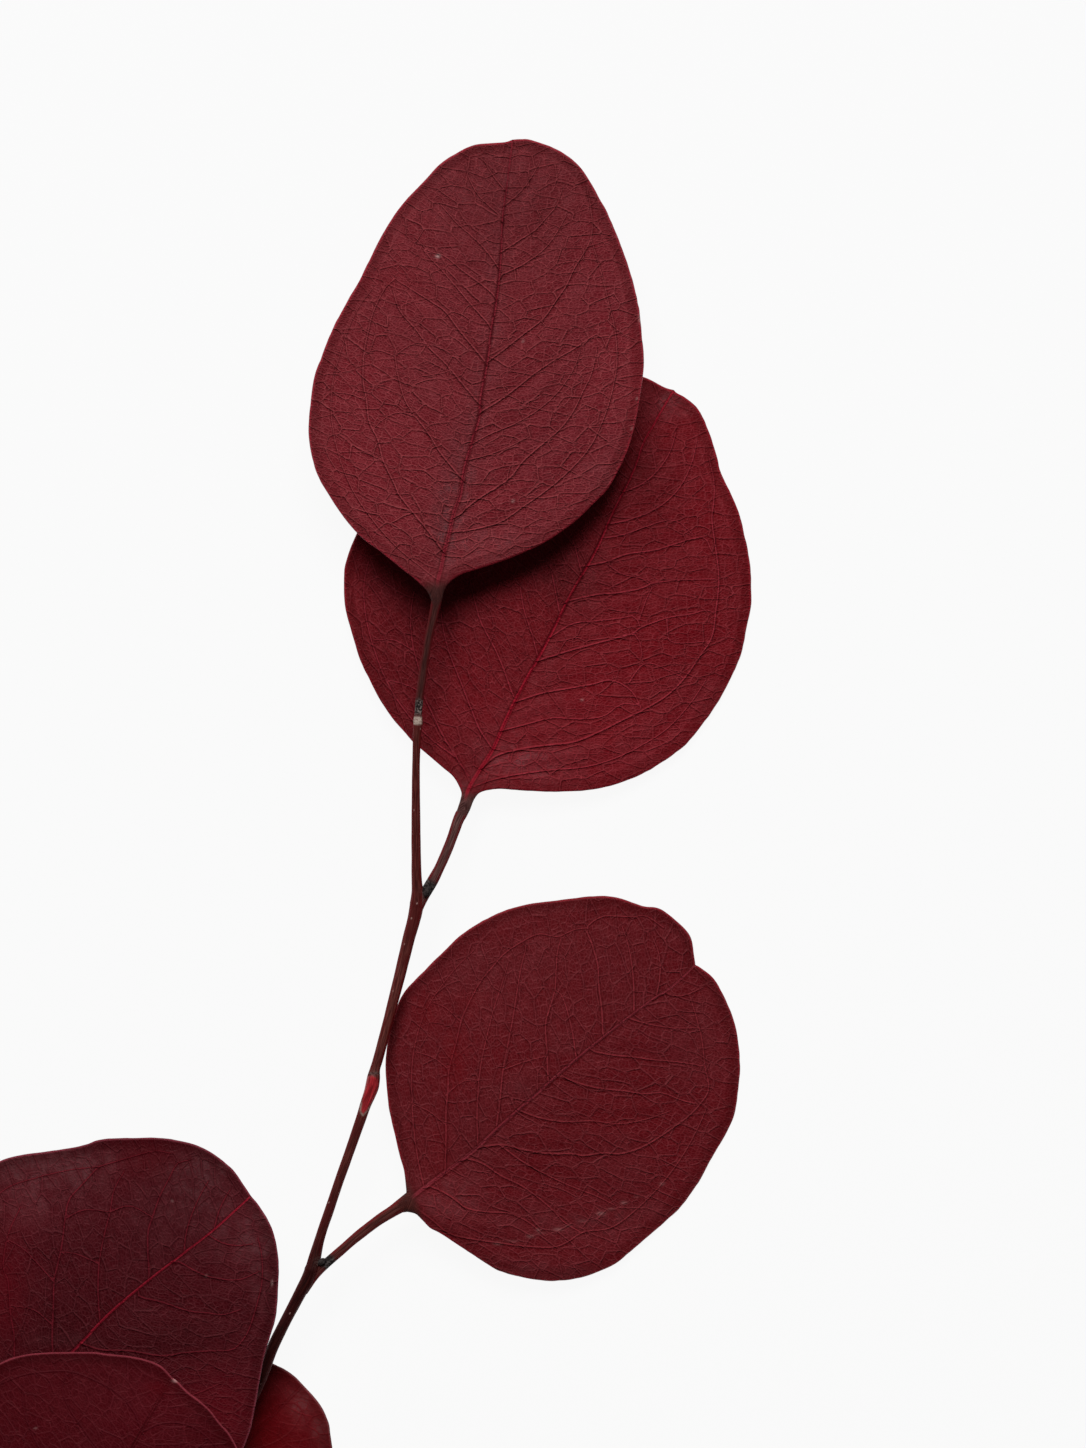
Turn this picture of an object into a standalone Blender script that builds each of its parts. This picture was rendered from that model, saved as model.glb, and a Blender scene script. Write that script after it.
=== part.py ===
"""Round-leaved eucalyptus sprig lying on a surface, seen from straight above.

One thin stem with six round leaves and two tiny axil buds. Every outline is
given in drawing units as it looks from EYE metres above the surface, x to the
right and y down; heights are in millimetres above the surface. The script
turns them into metres, +Y up the drawing and +Z away from the surface, with
the origin at the bottom centre of the bounding box.
"""
import math

import bmesh
import bpy
import numpy as np

for old in list(bpy.data.objects):
    bpy.data.objects.remove(old, do_unlink=True)

MM = 0.001
UNIT = 0.000145          # metres in one drawing unit
AXIS_X, AXIS_Y = 543.0, 724.0   # drawing point straight below the eye
EYE = 0.7875             # height the drawing is seen from
BLADE = 0.21             # half thickness of a blade, mm
STEM_SIDES = 12

# ---------------------------------------------------------------- stem
# x, y, height mm, radius mm, from the terminal stub down to the cut end
STEM = [
    (418, 713, 9.0, 0.55), (418, 717, 9.0, 0.62), (418, 724, 8.9, 0.66), (417, 733, 8.9, 0.60),
    (416.1, 760, 8.7, 0.55), (415.8, 790, 8.4, 0.595), (415.9, 824, 8.0, 0.65), (416.2, 858, 7.6, 0.69),
    (416.7, 880, 7.3, 0.75), (417.4, 893, 7.1, 0.86), (416.2, 908, 7.0, 0.98), (413.6, 921, 7.0, 0.94),
    (408.4, 940, 7.0, 0.88), (401.1, 970, 7.1, 0.82), (393.4, 1000, 7.3, 0.745), (388, 1021, 7.4, 0.72),
    (382.8, 1041, 7.5, 0.71), (377.7, 1060, 7.5, 0.72), (375, 1069, 7.5, 0.74), (373.5, 1077, 7.6, 0.92),
    (372, 1086, 7.6, 0.98), (369.5, 1094, 7.6, 0.90), (365.7, 1104, 7.6, 0.80), (362.4, 1114, 7.6, 0.75),
    (357, 1130, 7.65, 0.715), (350.4, 1149, 7.7, 0.68), (344.8, 1165, 7.75, 0.68), (339.4, 1180, 7.8, 0.665),
    (334, 1196, 7.85, 0.66), (328.6, 1212, 7.9, 0.68), (323.7, 1226, 7.95, 0.68), (319.3, 1240, 8.0, 0.71),
    (316.6, 1250, 8.0, 0.81), (314.6, 1258, 8.0, 0.90), (312, 1268, 8.1, 0.96), (307.4, 1280, 8.15, 0.98),
    (301.7, 1290, 8.2, 0.88), (294.9, 1303, 8.25, 0.82), (287.6, 1317, 8.3, 0.79), (279, 1334, 8.35, 0.82),
    (271.2, 1351, 8.4, 0.82), (260, 1381, 8.3, 0.83), (245, 1410, 8.0, 0.92), (233, 1427, 7.8, 1.08),
    (218, 1446, 7.6, 0.95), (180, 1492, 7.2, 0.90), (143, 1536, 6.8, 0.94), (122, 1559, 6.6, 1.14),
    (102, 1577, 6.3, 1.00), (55, 1618, 5.9, 0.96), (15, 1650, 5.6, 1.02), (-5, 1665, 5.4, 1.20),
    (-25, 1680, 5.1, 1.06), (-70, 1712, 4.6, 1.02), (-108, 1738, 4.1, 1.24), (-130, 1751, 3.8, 1.10),
    (-175, 1776, 3.1, 1.08), (-213, 1798, 2.5, 1.28), (-235, 1812, 2.1, 1.14), (-270, 1832, 1.5, 1.12),
    (-303, 1852, 1.12, 1.12),
]

# ---------------------------------------------------------------- leaves
# left and right margins and the midrib run from the base to the apex;
# stalk: x, y, height mm, half width mm, from the stem to the blade;
# lay: x, y, height mm of the blade's middle surface
LEAVES = {}
LEAVES["leaf_1"] = dict(
    left=[(431, 600), (427, 591), (416, 580), (402, 569), (381, 552), (360, 536), (340, 512), (320, 480),
          (313, 461), (309, 440), (308.5, 425), (310, 407), (314, 377), (320.5, 359), (332, 330), (348, 300),
          (360, 279), (381, 237), (400, 207), (425, 180), (440, 164), (456, 153.5), (473, 145), (491, 143),
          (505, 142), (512.5, 139.5)],
    right=[(442.5, 598), (445, 589), (451, 581), (462, 574), (481, 568), (500.5, 561.5), (520, 554), (542, 544),
           (561, 532), (579, 518), (593, 504), (609, 487), (622, 463), (631, 440), (637.5, 413), (643, 377),
           (644, 361), (642.5, 340), (638, 303), (627, 262), (610.5, 220), (600, 199), (581, 168), (560, 151),
           (532, 140), (521, 139), (512.5, 139.5)],
    midrib=[(437, 597), (438, 579), (440, 573), (445, 549), (449, 534), (454, 512), (460, 496), (464, 471),
            (472, 442), (479, 417), (481, 397), (487, 362), (491.5, 330), (497, 295), (500.5, 257), (503, 216),
            (507, 184), (511, 152), (512.5, 139.5)],
    stalk=[(418.3, 710, 9.0, 0.50), (419.5, 698, 9.1, 0.58), (421, 687, 9.3, 0.60), (424.5, 662, 9.7, 0.58),
           (429, 636, 10.2, 0.58), (434, 613, 10.6, 0.66), (436.6, 601, 10.8, 0.80)],
    lay=[(437, 597, 10.9), (350, 520, 10.6), (311, 430, 10.2), (330, 330, 10.8), (375, 250, 11.2), (440, 165, 11.0),
         (512, 140, 10.8), (580, 168, 10.6), (625, 260, 10.2), (643, 360, 9.6), (622, 463, 9.2), (561, 532, 9.6),
         (500, 561, 10.2), (470, 440, 12.2), (490, 330, 12.8), (503, 230, 12.4), (400, 400, 12.0), (560, 400, 11.6)])
LEAVES["leaf_2"] = dict(
    left=[(457, 810), (460.5, 799), (461, 791), (453.5, 777), (442, 767), (428, 755), (412.5, 741.5), (404.5, 732),
          (391.5, 717), (379.5, 699), (369.5, 679.5), (361, 662), (352, 634), (345.2, 607), (343.8, 578), (346, 561),
          (357, 533), (372, 507), (400, 474), (435, 443), (480, 413), (530, 391), (580, 378), (620, 373),
          (644, 377), (664, 387), (674, 390)],
    right=[(470, 810), (474.5, 799), (481.5, 792), (498, 789), (515, 790), (540, 791.5), (563, 791.8), (602, 788),
           (640.5, 774.8), (677.5, 751.5), (695, 734), (720, 699), (740, 658), (746, 631), (750.5, 611), (751.5, 594),
           (750, 564), (744, 533), (737, 507), (721.5, 474), (717, 457), (712, 440), (705, 422), (698, 409),
           (686, 398), (677, 393), (674, 390)],
    midrib=[(463.5, 810), (468, 790), (481.5, 767), (493, 749), (504, 724), (515, 701), (526, 680), (549, 638),
            (571, 594), (594, 554), (613, 513), (632, 474), (644, 442), (653, 426), (662.5, 409), (674, 390)],
    stalk=[(429.5, 887, 6.9, 0.54), (433, 881, 6.85, 0.68), (438.4, 869.5, 6.65, 0.71), (443.1, 859.5, 6.4, 0.71),
           (449.3, 845, 6.0, 0.71), (454.8, 830, 5.5, 0.76), (458.5, 819.5, 5.0, 0.82), (463, 811, 4.6, 0.92)],
    lay=[(463.5, 810, 4.5), (406, 732, 3.2), (353, 634, 2.0), (346, 561, 1.6), (400, 474, 1.8), (480, 413, 1.4),
         (580, 378, 0.9), (674, 390, 0.35), (721, 474, 0.25), (750, 580, 0.12), (720, 699, 0.6), (639, 774, 1.9),
         (540, 791, 3.4), (515, 701, 3.7), (571, 594, 3.6), (632, 474, 2.4), (470, 600, 3.4), (650, 640, 2.8)])
LEAVES["leaf_3"] = dict(
    left=[(406.5, 1192.5), (404, 1171), (400, 1157), (396, 1140), (391.5, 1121), (388, 1102), (385.5, 1065), (389, 1033),
          (394, 1015), (399.5, 1000.5), (407.5, 988), (425, 970), (441, 954), (461, 935), (481, 922), (501, 912),
          (528, 904), (560, 900), (584, 897), (602, 896), (619, 898), (643, 906), (660.5, 909), (681, 925),
          (691, 938), (694, 955), (695.5, 965)],
    right=[(407.5, 1212), (415.5, 1214), (422, 1220), (430, 1228), (441, 1234), (470, 1253), (493, 1268), (505, 1273),
           (520, 1277), (536, 1280), (555, 1281), (580, 1278), (611, 1266.3), (631, 1251), (655, 1230.5), (679.3, 1208.5),
           (695.5, 1187), (707.5, 1166), (721, 1142.5), (734, 1116), (739, 1084), (740, 1065), (736.5, 1030),
           (726, 1000.5), (714, 979), (701, 968), (695.5, 965)],
    midrib=[(405, 1203), (424, 1188), (440, 1176), (458, 1163), (477, 1148), (496, 1130), (533, 1097), (574, 1061),
            (611, 1031), (649, 1002), (666, 991), (681, 979), (695.5, 965)],
    stalk=[(327.5, 1262.3, 7.8, 0.52), (332.4, 1258, 7.7, 0.66), (341.7, 1250, 7.55, 0.66), (353, 1240, 7.25, 0.68),
           (362, 1232.7, 7.0, 0.71), (370.7, 1226, 6.8, 0.74), (381, 1218.5, 6.5, 0.78), (393, 1211, 6.2, 0.84),
           (402, 1205, 6.0, 1.00)],
    lay=[(404, 1203, 5.9), (390, 1110, 5.0), (387, 1050, 4.6), (410, 985, 4.4), (461, 935, 4.0), (560, 900, 3.2),
         (643, 906, 2.1), (694, 955, 1.1), (736, 1030, 0.15), (734, 1116, 0.02), (678, 1208, 0.4), (611, 1265, 1.5),
         (536, 1280, 3.0), (470, 1253, 4.4), (496, 1130, 5.4), (574, 1061, 4.9), (640, 1010, 3.2), (500, 1020, 5.2),
         (610, 1150, 3.6)])
LEAVES["leaf_4"] = dict(
    left=[(-55, 1488), (-70, 1470), (-86, 1436), (-98, 1390), (-103, 1340), (-98, 1290), (-82, 1243), (-50, 1203),
          (-22, 1176), (0, 1161), (21, 1155), (44, 1152), (80, 1146), (101, 1139.5), (131, 1138), (161, 1138),
          (193, 1144), (213.5, 1154), (232, 1169), (243, 1184), (251, 1196)],
    right=[(-44, 1497), (-32, 1505), (-12, 1515), (19, 1530), (45, 1540), (75, 1546), (112, 1545), (149, 1535),
           (180, 1519), (210, 1496), (231, 1472), (248, 1437), (255, 1407), (261, 1374), (266, 1350), (275, 1320),
           (278, 1290), (278.5, 1260), (273, 1231), (260.5, 1208), (251, 1196)],
    midrib=[(-50, 1494), (-36, 1471), (-15, 1440), (12, 1410), (42, 1380), (75, 1349), (110, 1313), (149, 1280),
            (184, 1253), (213.5, 1230), (238, 1208), (251, 1196)],
    stalk=[(-13, 1653, 5.9, 0.60), (-18, 1645, 6.2, 0.72), (-28, 1625, 6.6, 0.70), (-41, 1585, 7.2, 0.66),
           (-50, 1545, 7.8, 0.66), (-52, 1515, 8.3, 0.72), (-50.5, 1499, 8.6, 0.86)],
    lay=[(-50, 1494, 8.7), (-98, 1400, 9.6), (-90, 1270, 10.0), (0, 1161, 10.4), (131, 1138, 10.2), (213, 1153, 9.8),
         (251, 1196, 10.0), (278, 1280, 10.8), (266, 1350, 11.2), (231, 1472, 11.4), (149, 1535, 11.0),
         (45, 1540, 10.0), (20, 1400, 10.8), (110, 1313, 12.3), (190, 1248, 11.4), (60, 1230, 11.6), (190, 1400, 12.2)])
LEAVES["leaf_5"] = dict(
    left=[(-38, 1724), (-55, 1704), (-79, 1672), (-101, 1624), (-117, 1557), (-113, 1490), (-89, 1434), (-47, 1390),
          (0, 1363), (23, 1355), (44, 1352.6), (69, 1352), (92, 1352), (108, 1354), (129, 1356), (147, 1360),
          (161, 1366), (172, 1377)],
    right=[(-27, 1731), (-5, 1738), (39, 1742), (92, 1737), (159, 1716), (215, 1680), (252, 1633), (268, 1577),
           (267, 1521), (255, 1478), (243, 1458), (230, 1434.5), (220, 1423), (211, 1411), (200, 1401), (188, 1392),
           (179, 1383), (172, 1377)],
    midrib=[(-33, 1728), (-17, 1702), (20, 1640), (58, 1575), (96, 1510), (132, 1448), (156, 1405), (172, 1377)],
    stalk=[(-218, 1785, 3.5, 0.62), (-209, 1781, 4.0, 0.74), (-180, 1773, 5.4, 0.72), (-140, 1764, 7.2, 0.70),
           (-95, 1754, 8.8, 0.70), (-55, 1741, 10.0, 0.74), (-37, 1731, 10.6, 0.86)],
    lay=[(-33, 1728, 10.8), (-101, 1624, 12.2), (-113, 1490, 12.8), (0, 1363, 13.8), (92, 1352, 14.2), (172, 1377, 14.4),
         (220, 1423, 14.0), (267, 1521, 12.6), (252, 1633, 11.4), (159, 1716, 10.6), (39, 1742, 10.4), (20, 1640, 13.2),
         (96, 1510, 15.2), (140, 1435, 15.0), (0, 1500, 14.6), (190, 1570, 14.0)])
LEAVES["leaf_6"] = dict(
    left=[(30, 1653), (22, 1628), (14, 1578), (15, 1508), (38, 1446), (77, 1401), (130, 1369), (186, 1355),
          (236, 1356), (262, 1360), (280, 1367), (294, 1376), (303, 1385)],
    right=[(39, 1661), (62, 1668), (113, 1677), (182, 1675), (245, 1652), (290, 1612), (321, 1559), (335, 1502),
           (333, 1455), (330, 1432), (328, 1421), (322, 1408), (314, 1397), (303, 1385)],
    midrib=[(34, 1657), (62, 1627), (99, 1591), (141, 1549), (183, 1506), (226, 1464), (261, 1428), (303, 1385)],
    stalk=[(-103, 1757, 3.2, 0.60), (-94, 1755, 3.1, 0.72), (-70, 1746, 3.0, 0.70), (-40, 1731, 2.9, 0.70),
           (-8, 1706, 2.7, 0.70), (18, 1679, 2.5, 0.74), (31, 1662, 2.4, 0.86)],
    lay=[(34, 1657, 2.35), (16, 1560, 1.6), (60, 1418, 1.6), (186, 1355, 1.3), (262, 1360, 1.1), (303, 1385, 1.0),
         (333, 1455, 0.3), (321, 1559, 0.10), (245, 1652, 0.15), (113, 1677, 1.1), (141, 1549, 2.8), (226, 1464, 2.3),
         (110, 1480, 2.5), (220, 1570, 1.9)])

BUDS = {  # x, y, height mm, half length, half width, half depth mm, heading in degrees
    "axil_bud_1": (427.0, 891.0, 8.45, 0.80, 0.42, 0.36, 62),
    "axil_bud_2": (321.5, 1261.5, 9.25, 0.62, 0.42, 0.36, 42),
}

COLOURS = {
    "main_stem": (0.055, 0.013, 0.010), "leaf_1": (0.120, 0.020, 0.026), "leaf_2": (0.105, 0.010, 0.014),
    "leaf_3": (0.092, 0.011, 0.015), "leaf_4": (0.052, 0.008, 0.012), "leaf_5": (0.052, 0.006, 0.009),
    "leaf_6": (0.060, 0.006, 0.008), "axil_bud_1": (0.19, 0.12, 0.10), "axil_bud_2": (0.19, 0.12, 0.10),
}


def to_metres(px, py, zmm):
    """A drawing point at a height, with the eye's foreshortening taken out."""
    z = np.asarray(zmm, float) * MM
    s = 1.0 - z / EYE
    return np.stack([(np.asarray(px, float) - AXIS_X) * UNIT * s,
                     (AXIS_Y - np.asarray(py, float)) * UNIT * s, z], axis=-1)


def smooth(points, stations):
    """Catmull-Rom through the points, read off at fractions of its length."""
    p = np.array(points, float)
    a = np.vstack([2 * p[0] - p[1], p, 2 * p[-1] - p[-2]])
    steps = np.linspace(0, 1, 10, endpoint=False)[:, None]
    parts = []
    for i in range(1, len(a) - 2):
        p0, p1, p2, p3 = a[i - 1], a[i], a[i + 1], a[i + 2]
        parts.append(0.5 * (2 * p1 + (p2 - p0) * steps + (2 * p0 - 5 * p1 + 4 * p2 - p3) * steps ** 2
                            + (3 * p1 - p0 - 3 * p2 + p3) * steps ** 3))
    dense = np.vstack(parts + [p[-1:]])
    run = np.r_[0, np.cumsum(np.linalg.norm(np.diff(dense[:, :2], axis=0), axis=1))]
    run /= run[-1]
    return np.column_stack([np.interp(stations, run, dense[:, k]) for k in range(p.shape[1])])


def height_field(rows):
    """Smooth thin-plate surface through x, y, height control points."""
    c = np.array(rows, float)
    xy, n = c[:, :2] / 100.0, len(c)

    def bend(a, b):
        r2 = ((a[:, None, :] - b[None, :, :]) ** 2).sum(-1)
        return 0.5 * r2 * np.log(r2 + 1e-12)

    m = np.zeros((n + 3, n + 3))
    m[:n, :n] = bend(xy, xy) + np.eye(n) * 0.02
    m[:n, n], m[:n, n + 1:] = 1.0, xy
    m[n:, :n] = m[:n, n:].T
    w = np.linalg.solve(m, np.r_[c[:, 2], 0, 0, 0])

    def at(px, py):
        q = np.column_stack([np.ravel(px), np.ravel(py)]) / 100.0
        h = bend(q, xy) @ w[:n] + w[n] + q @ w[n + 1:]
        return h.reshape(np.shape(px))
    return at


def sweep(path):
    """Centres, side and up vectors along a path given in metres."""
    t = np.gradient(path, axis=0)
    t /= np.linalg.norm(t, axis=1)[:, None]
    side = np.cross(t, np.array([0.0, 0.0, 1.0]))
    side /= np.linalg.norm(side, axis=1)[:, None]
    up = np.cross(side, t)
    return t, side, up


def build(name, rings, tip=None):
    """Closed body from equal rings of points: end cap, skin, end cap or tip."""
    mesh = bpy.data.meshes.new(name)
    bm = bmesh.new()
    loops = [[bm.verts.new(tuple(p)) for p in ring] for ring in rings]
    for a, b in zip(loops[:-1], loops[1:]):
        n = len(a)
        for j in range(n):
            bm.faces.new((a[j], a[(j + 1) % n], b[(j + 1) % n], b[j]))
    first = rings[0].mean(axis=0)
    c0 = bm.verts.new(tuple(first))
    n = len(loops[0])
    for j in range(n):
        bm.faces.new((c0, loops[0][(j + 1) % n], loops[0][j]))
    c1 = bm.verts.new(tuple(rings[-1].mean(axis=0) if tip is None else tip))
    for j in range(n):
        bm.faces.new((c1, loops[-1][j], loops[-1][(j + 1) % n]))
    bmesh.ops.triangulate(bm, faces=bm.faces[:])
    bmesh.ops.recalc_face_normals(bm, faces=bm.faces[:])
    for f in bm.faces:
        f.smooth = True
    bm.to_mesh(mesh)
    bm.free()
    ob = bpy.data.objects.new(name, mesh)
    bpy.context.scene.collection.objects.link(ob)
    mat = bpy.data.materials.new(name)
    mat.use_nodes = True
    bsdf = mat.node_tree.nodes["Principled BSDF"]
    bsdf.inputs["Base Color"].default_value = COLOURS[name] + (1.0,)
    bsdf.inputs["Roughness"].default_value = 0.6
    mesh.materials.append(mat)
    return ob


def tube_rings(rows, sides, stations, dome=()):
    """Rings of a round stem or bud; dome shrinks the first ring to a rounded end."""
    s = smooth(rows, stations)
    path = to_metres(s[:, 0], s[:, 1], s[:, 2])
    t, side, up = sweep(path)
    rings = []
    ang = np.linspace(0, 2 * math.pi, sides, endpoint=False)
    for i in range(len(path)):
        r = s[i, 3] * MM
        rings.append(path[i] + r * (np.cos(ang)[:, None] * side[i] + np.sin(ang)[:, None] * up[i]))
    for k, (back, shrink) in enumerate(dome):
        r = s[0, 3] * MM
        c = path[0] - t[0] * back * MM
        rings.insert(0, c + r * shrink * (np.cos(ang)[:, None] * side[0] + np.sin(ang)[:, None] * up[0]))
    return rings


def make_stem():
    stations = np.linspace(0, 1, 66)
    # nearly even rings, with the swollen nodes caught by the smooth radius
    return build("main_stem", tube_rings(STEM, STEM_SIDES, stations, dome=((0.12, 0.72),)))


COLS = np.array([-1.0, -0.955, -0.78, -0.52, -0.24, 0.0, 0.24, 0.52, 0.78, 0.955, 1.0])
ROUND = -np.cos(np.linspace(0, math.pi, len(COLS)))


def make_leaf(name):
    d = LEAVES[name]
    lay = height_field(d["lay"])
    rings = []
    # stalk, round in section
    st = smooth(d["stalk"], np.linspace(0, 1, 8))
    path = to_metres(st[:, 0], st[:, 1], st[:, 2])
    t, side, up = sweep(path)
    top = ROUND[:, None]
    bottom = ROUND[-2:0:-1, None]

    def oval(c, s, u, half_w, half_h):
        upper = c + s * half_w * top + u * half_h * np.sqrt(np.clip(1 - top ** 2, 0, 1))
        lower = c + s * half_w * bottom - u * half_h * np.sqrt(np.clip(1 - bottom ** 2, 0, 1))
        return np.vstack([upper, lower])

    rings.append(oval(path[0] - t[0] * 0.10 * MM, side[0], up[0], st[0, 3] * 0.6 * MM, st[0, 3] * 0.6 * MM))
    for i in range(len(path)):
        flat = 1.0 - 0.15 * i / (len(path) - 1)
        rings.append(oval(path[i], side[i], up[i], st[i, 3] * MM, st[i, 3] * flat * MM))
    # blade, a fan of rows from the midrib to both margins
    rows = 21
    lin = np.linspace(0, 1, rows + 1)
    ts = (0.45 * lin + 0.55 * (0.5 - 0.5 * np.cos(math.pi * lin)))[:-1]
    left, right, mid = (smooth(d[k], ts) for k in ("left", "right", "midrib"))
    for i, tt in enumerate(ts):
        blend = min(1.0, tt / 0.10)
        blend = blend * blend * (3 - 2 * blend)
        r = (1 - blend) * ROUND + blend * COLS
        rr = r[:, None]
        p = np.where(rr < 0, mid[i] + (-rr) * (left[i] - mid[i]), mid[i] + rr * (right[i] - mid[i]))
        z = lay(p[:, 0], p[:, 1])
        edge = np.sqrt(np.clip(1 - (np.clip((np.abs(r) - 0.955) / 0.045, 0, 1)) ** 2, 0, 1))
        fade = 1 - tt
        rib_top = 0.10 * fade * np.exp(-(r / 0.12) ** 2)
        rib_low = 0.42 * fade * np.exp(-(r / 0.12) ** 2)
        stalk_h = st[-1, 3] * 0.85 * np.sqrt(np.clip(1 - r ** 2, 0, 1))
        h_top = (1 - blend) * stalk_h + blend * (BLADE * edge + rib_top)
        h_low = (1 - blend) * stalk_h + blend * (BLADE * edge + rib_low)
        upper = to_metres(p[:, 0], p[:, 1], z + h_top)
        lower = to_metres(p[:, 0], p[:, 1], z - h_low)
        rings.append(np.vstack([upper, lower[-2:0:-1]]))
    ax, ay = d["midrib"][-1]
    tip = to_metres(ax, ay, lay(np.array([ax]), np.array([ay]))[0])
    return build(name, rings, tip=tip)


def make_bud(name):
    px, py, z, ln, wd, dp, heading = BUDS[name]
    c = to_metres(px, py, z)
    a = math.radians(heading)
    t = np.array([math.cos(a), math.sin(a), 0.0])
    s = np.array([math.sin(a), -math.cos(a), 0.0])
    u = np.array([0.0, 0.0, 1.0])
    rings = []
    ang = np.linspace(0, 2 * math.pi, 12, endpoint=False)
    for k in range(1, 8):
        f = math.pi * k / 8
        along, r = -math.cos(f), math.sin(f) ** 0.9
        if k > 4:                       # the free end is a little more pointed
            r *= 1 - 0.10 * (k - 4)
        rings.append(c + t * along * ln * MM + r * MM * (np.cos(ang)[:, None] * s * wd + np.sin(ang)[:, None] * u * dp))
    return build(name, rings)


made = [make_stem()] + [make_leaf(n) for n in LEAVES] + [make_bud(n) for n in BUDS]

# origin at the bottom centre of the bounding box
every = np.vstack([np.array([v.co[:] for v in ob.data.vertices]) for ob in made])
low, high = every.min(axis=0), every.max(axis=0)
shift = np.array([-(low[0] + high[0]) / 2, -(low[1] + high[1]) / 2, -low[2]])
for ob in made:
    for v in ob.data.vertices:
        v.co = (v.co[0] + shift[0], v.co[1] + shift[1], v.co[2] + shift[2])
    ob.data.update()
print("shift", [round(float(v), 6) for v in shift], "size mm", [round(float(v) * 1000, 2) for v in high - low])
for ob in made:
    zs = [v.co[2] * 1000 for v in ob.data.vertices]
    print(ob.name, len(ob.data.polygons), "tris  z mm %.2f to %.2f" % (min(zs), max(zs)))
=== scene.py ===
import math

import bpy
import numpy as np
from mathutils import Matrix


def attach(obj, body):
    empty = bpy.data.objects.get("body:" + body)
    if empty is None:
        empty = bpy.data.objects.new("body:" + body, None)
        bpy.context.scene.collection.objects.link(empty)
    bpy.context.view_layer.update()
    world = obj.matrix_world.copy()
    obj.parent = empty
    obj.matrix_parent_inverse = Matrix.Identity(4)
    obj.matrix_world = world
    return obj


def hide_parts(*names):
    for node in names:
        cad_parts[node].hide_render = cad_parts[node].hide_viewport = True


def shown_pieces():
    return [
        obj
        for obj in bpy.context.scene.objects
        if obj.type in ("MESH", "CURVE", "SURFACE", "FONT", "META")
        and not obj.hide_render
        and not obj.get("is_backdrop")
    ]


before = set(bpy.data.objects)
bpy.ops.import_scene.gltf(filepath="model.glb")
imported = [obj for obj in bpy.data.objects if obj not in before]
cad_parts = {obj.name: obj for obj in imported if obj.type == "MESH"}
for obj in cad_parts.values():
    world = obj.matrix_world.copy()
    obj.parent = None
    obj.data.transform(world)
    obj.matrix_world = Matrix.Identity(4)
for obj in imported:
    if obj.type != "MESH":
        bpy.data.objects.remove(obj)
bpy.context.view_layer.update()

MM = 0.001
UNIT = 0.000145          # metres in one drawing unit
AXIS_X, AXIS_Y = 543.0, 724.0   # drawing point straight below the eye
EYE = 0.7875             # camera height above the surface
SHIFT = np.array([0.046436, 0.040303, 0.000005])   # drawing frame to row frame
BLADE = 0.21             # half thickness of a blade, mm

# ---------------------------------------------------------------- drawing
# x, y, height mm, radius mm, from the terminal stub down to the cut end
STEM = [
    (418, 713, 9.0, 0.55), (418, 717, 9.0, 0.62), (418, 724, 8.9, 0.66), (417, 733, 8.9, 0.60),
    (416.1, 760, 8.7, 0.55), (415.8, 790, 8.4, 0.595), (415.9, 824, 8.0, 0.65), (416.2, 858, 7.6, 0.69),
    (416.7, 880, 7.3, 0.75), (417.4, 893, 7.1, 0.86), (416.2, 908, 7.0, 0.98), (413.6, 921, 7.0, 0.94),
    (408.4, 940, 7.0, 0.88), (401.1, 970, 7.1, 0.82), (393.4, 1000, 7.3, 0.745), (388, 1021, 7.4, 0.72),
    (382.8, 1041, 7.5, 0.71), (377.7, 1060, 7.5, 0.72), (375, 1069, 7.5, 0.74), (373.5, 1077, 7.6, 0.92),
    (372, 1086, 7.6, 0.98), (369.5, 1094, 7.6, 0.90), (365.7, 1104, 7.6, 0.80), (362.4, 1114, 7.6, 0.75),
    (357, 1130, 7.65, 0.715), (350.4, 1149, 7.7, 0.68), (344.8, 1165, 7.75, 0.68), (339.4, 1180, 7.8, 0.665),
    (334, 1196, 7.85, 0.66), (328.6, 1212, 7.9, 0.68), (323.7, 1226, 7.95, 0.68), (319.3, 1240, 8.0, 0.71),
    (316.6, 1250, 8.0, 0.81), (314.6, 1258, 8.0, 0.90), (312, 1268, 8.1, 0.96), (307.4, 1280, 8.15, 0.98),
    (301.7, 1290, 8.2, 0.88), (294.9, 1303, 8.25, 0.82), (287.6, 1317, 8.3, 0.79), (279, 1334, 8.35, 0.82),
    (271.2, 1351, 8.4, 0.82), (260, 1381, 8.3, 0.83), (245, 1410, 8.0, 0.92), (233, 1427, 7.8, 1.08),
    (218, 1446, 7.6, 0.95), (180, 1492, 7.2, 0.90), (143, 1536, 6.8, 0.94), (122, 1559, 6.6, 1.14),
    (102, 1577, 6.3, 1.00), (55, 1618, 5.9, 0.96), (15, 1650, 5.6, 1.02), (-5, 1665, 5.4, 1.20),
    (-25, 1680, 5.1, 1.06), (-70, 1712, 4.6, 1.02), (-108, 1738, 4.1, 1.24), (-130, 1751, 3.8, 1.10),
    (-175, 1776, 3.1, 1.08), (-213, 1798, 2.5, 1.28), (-235, 1812, 2.1, 1.14), (-270, 1832, 1.5, 1.12),
    (-303, 1852, 1.12, 1.12),
]

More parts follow.
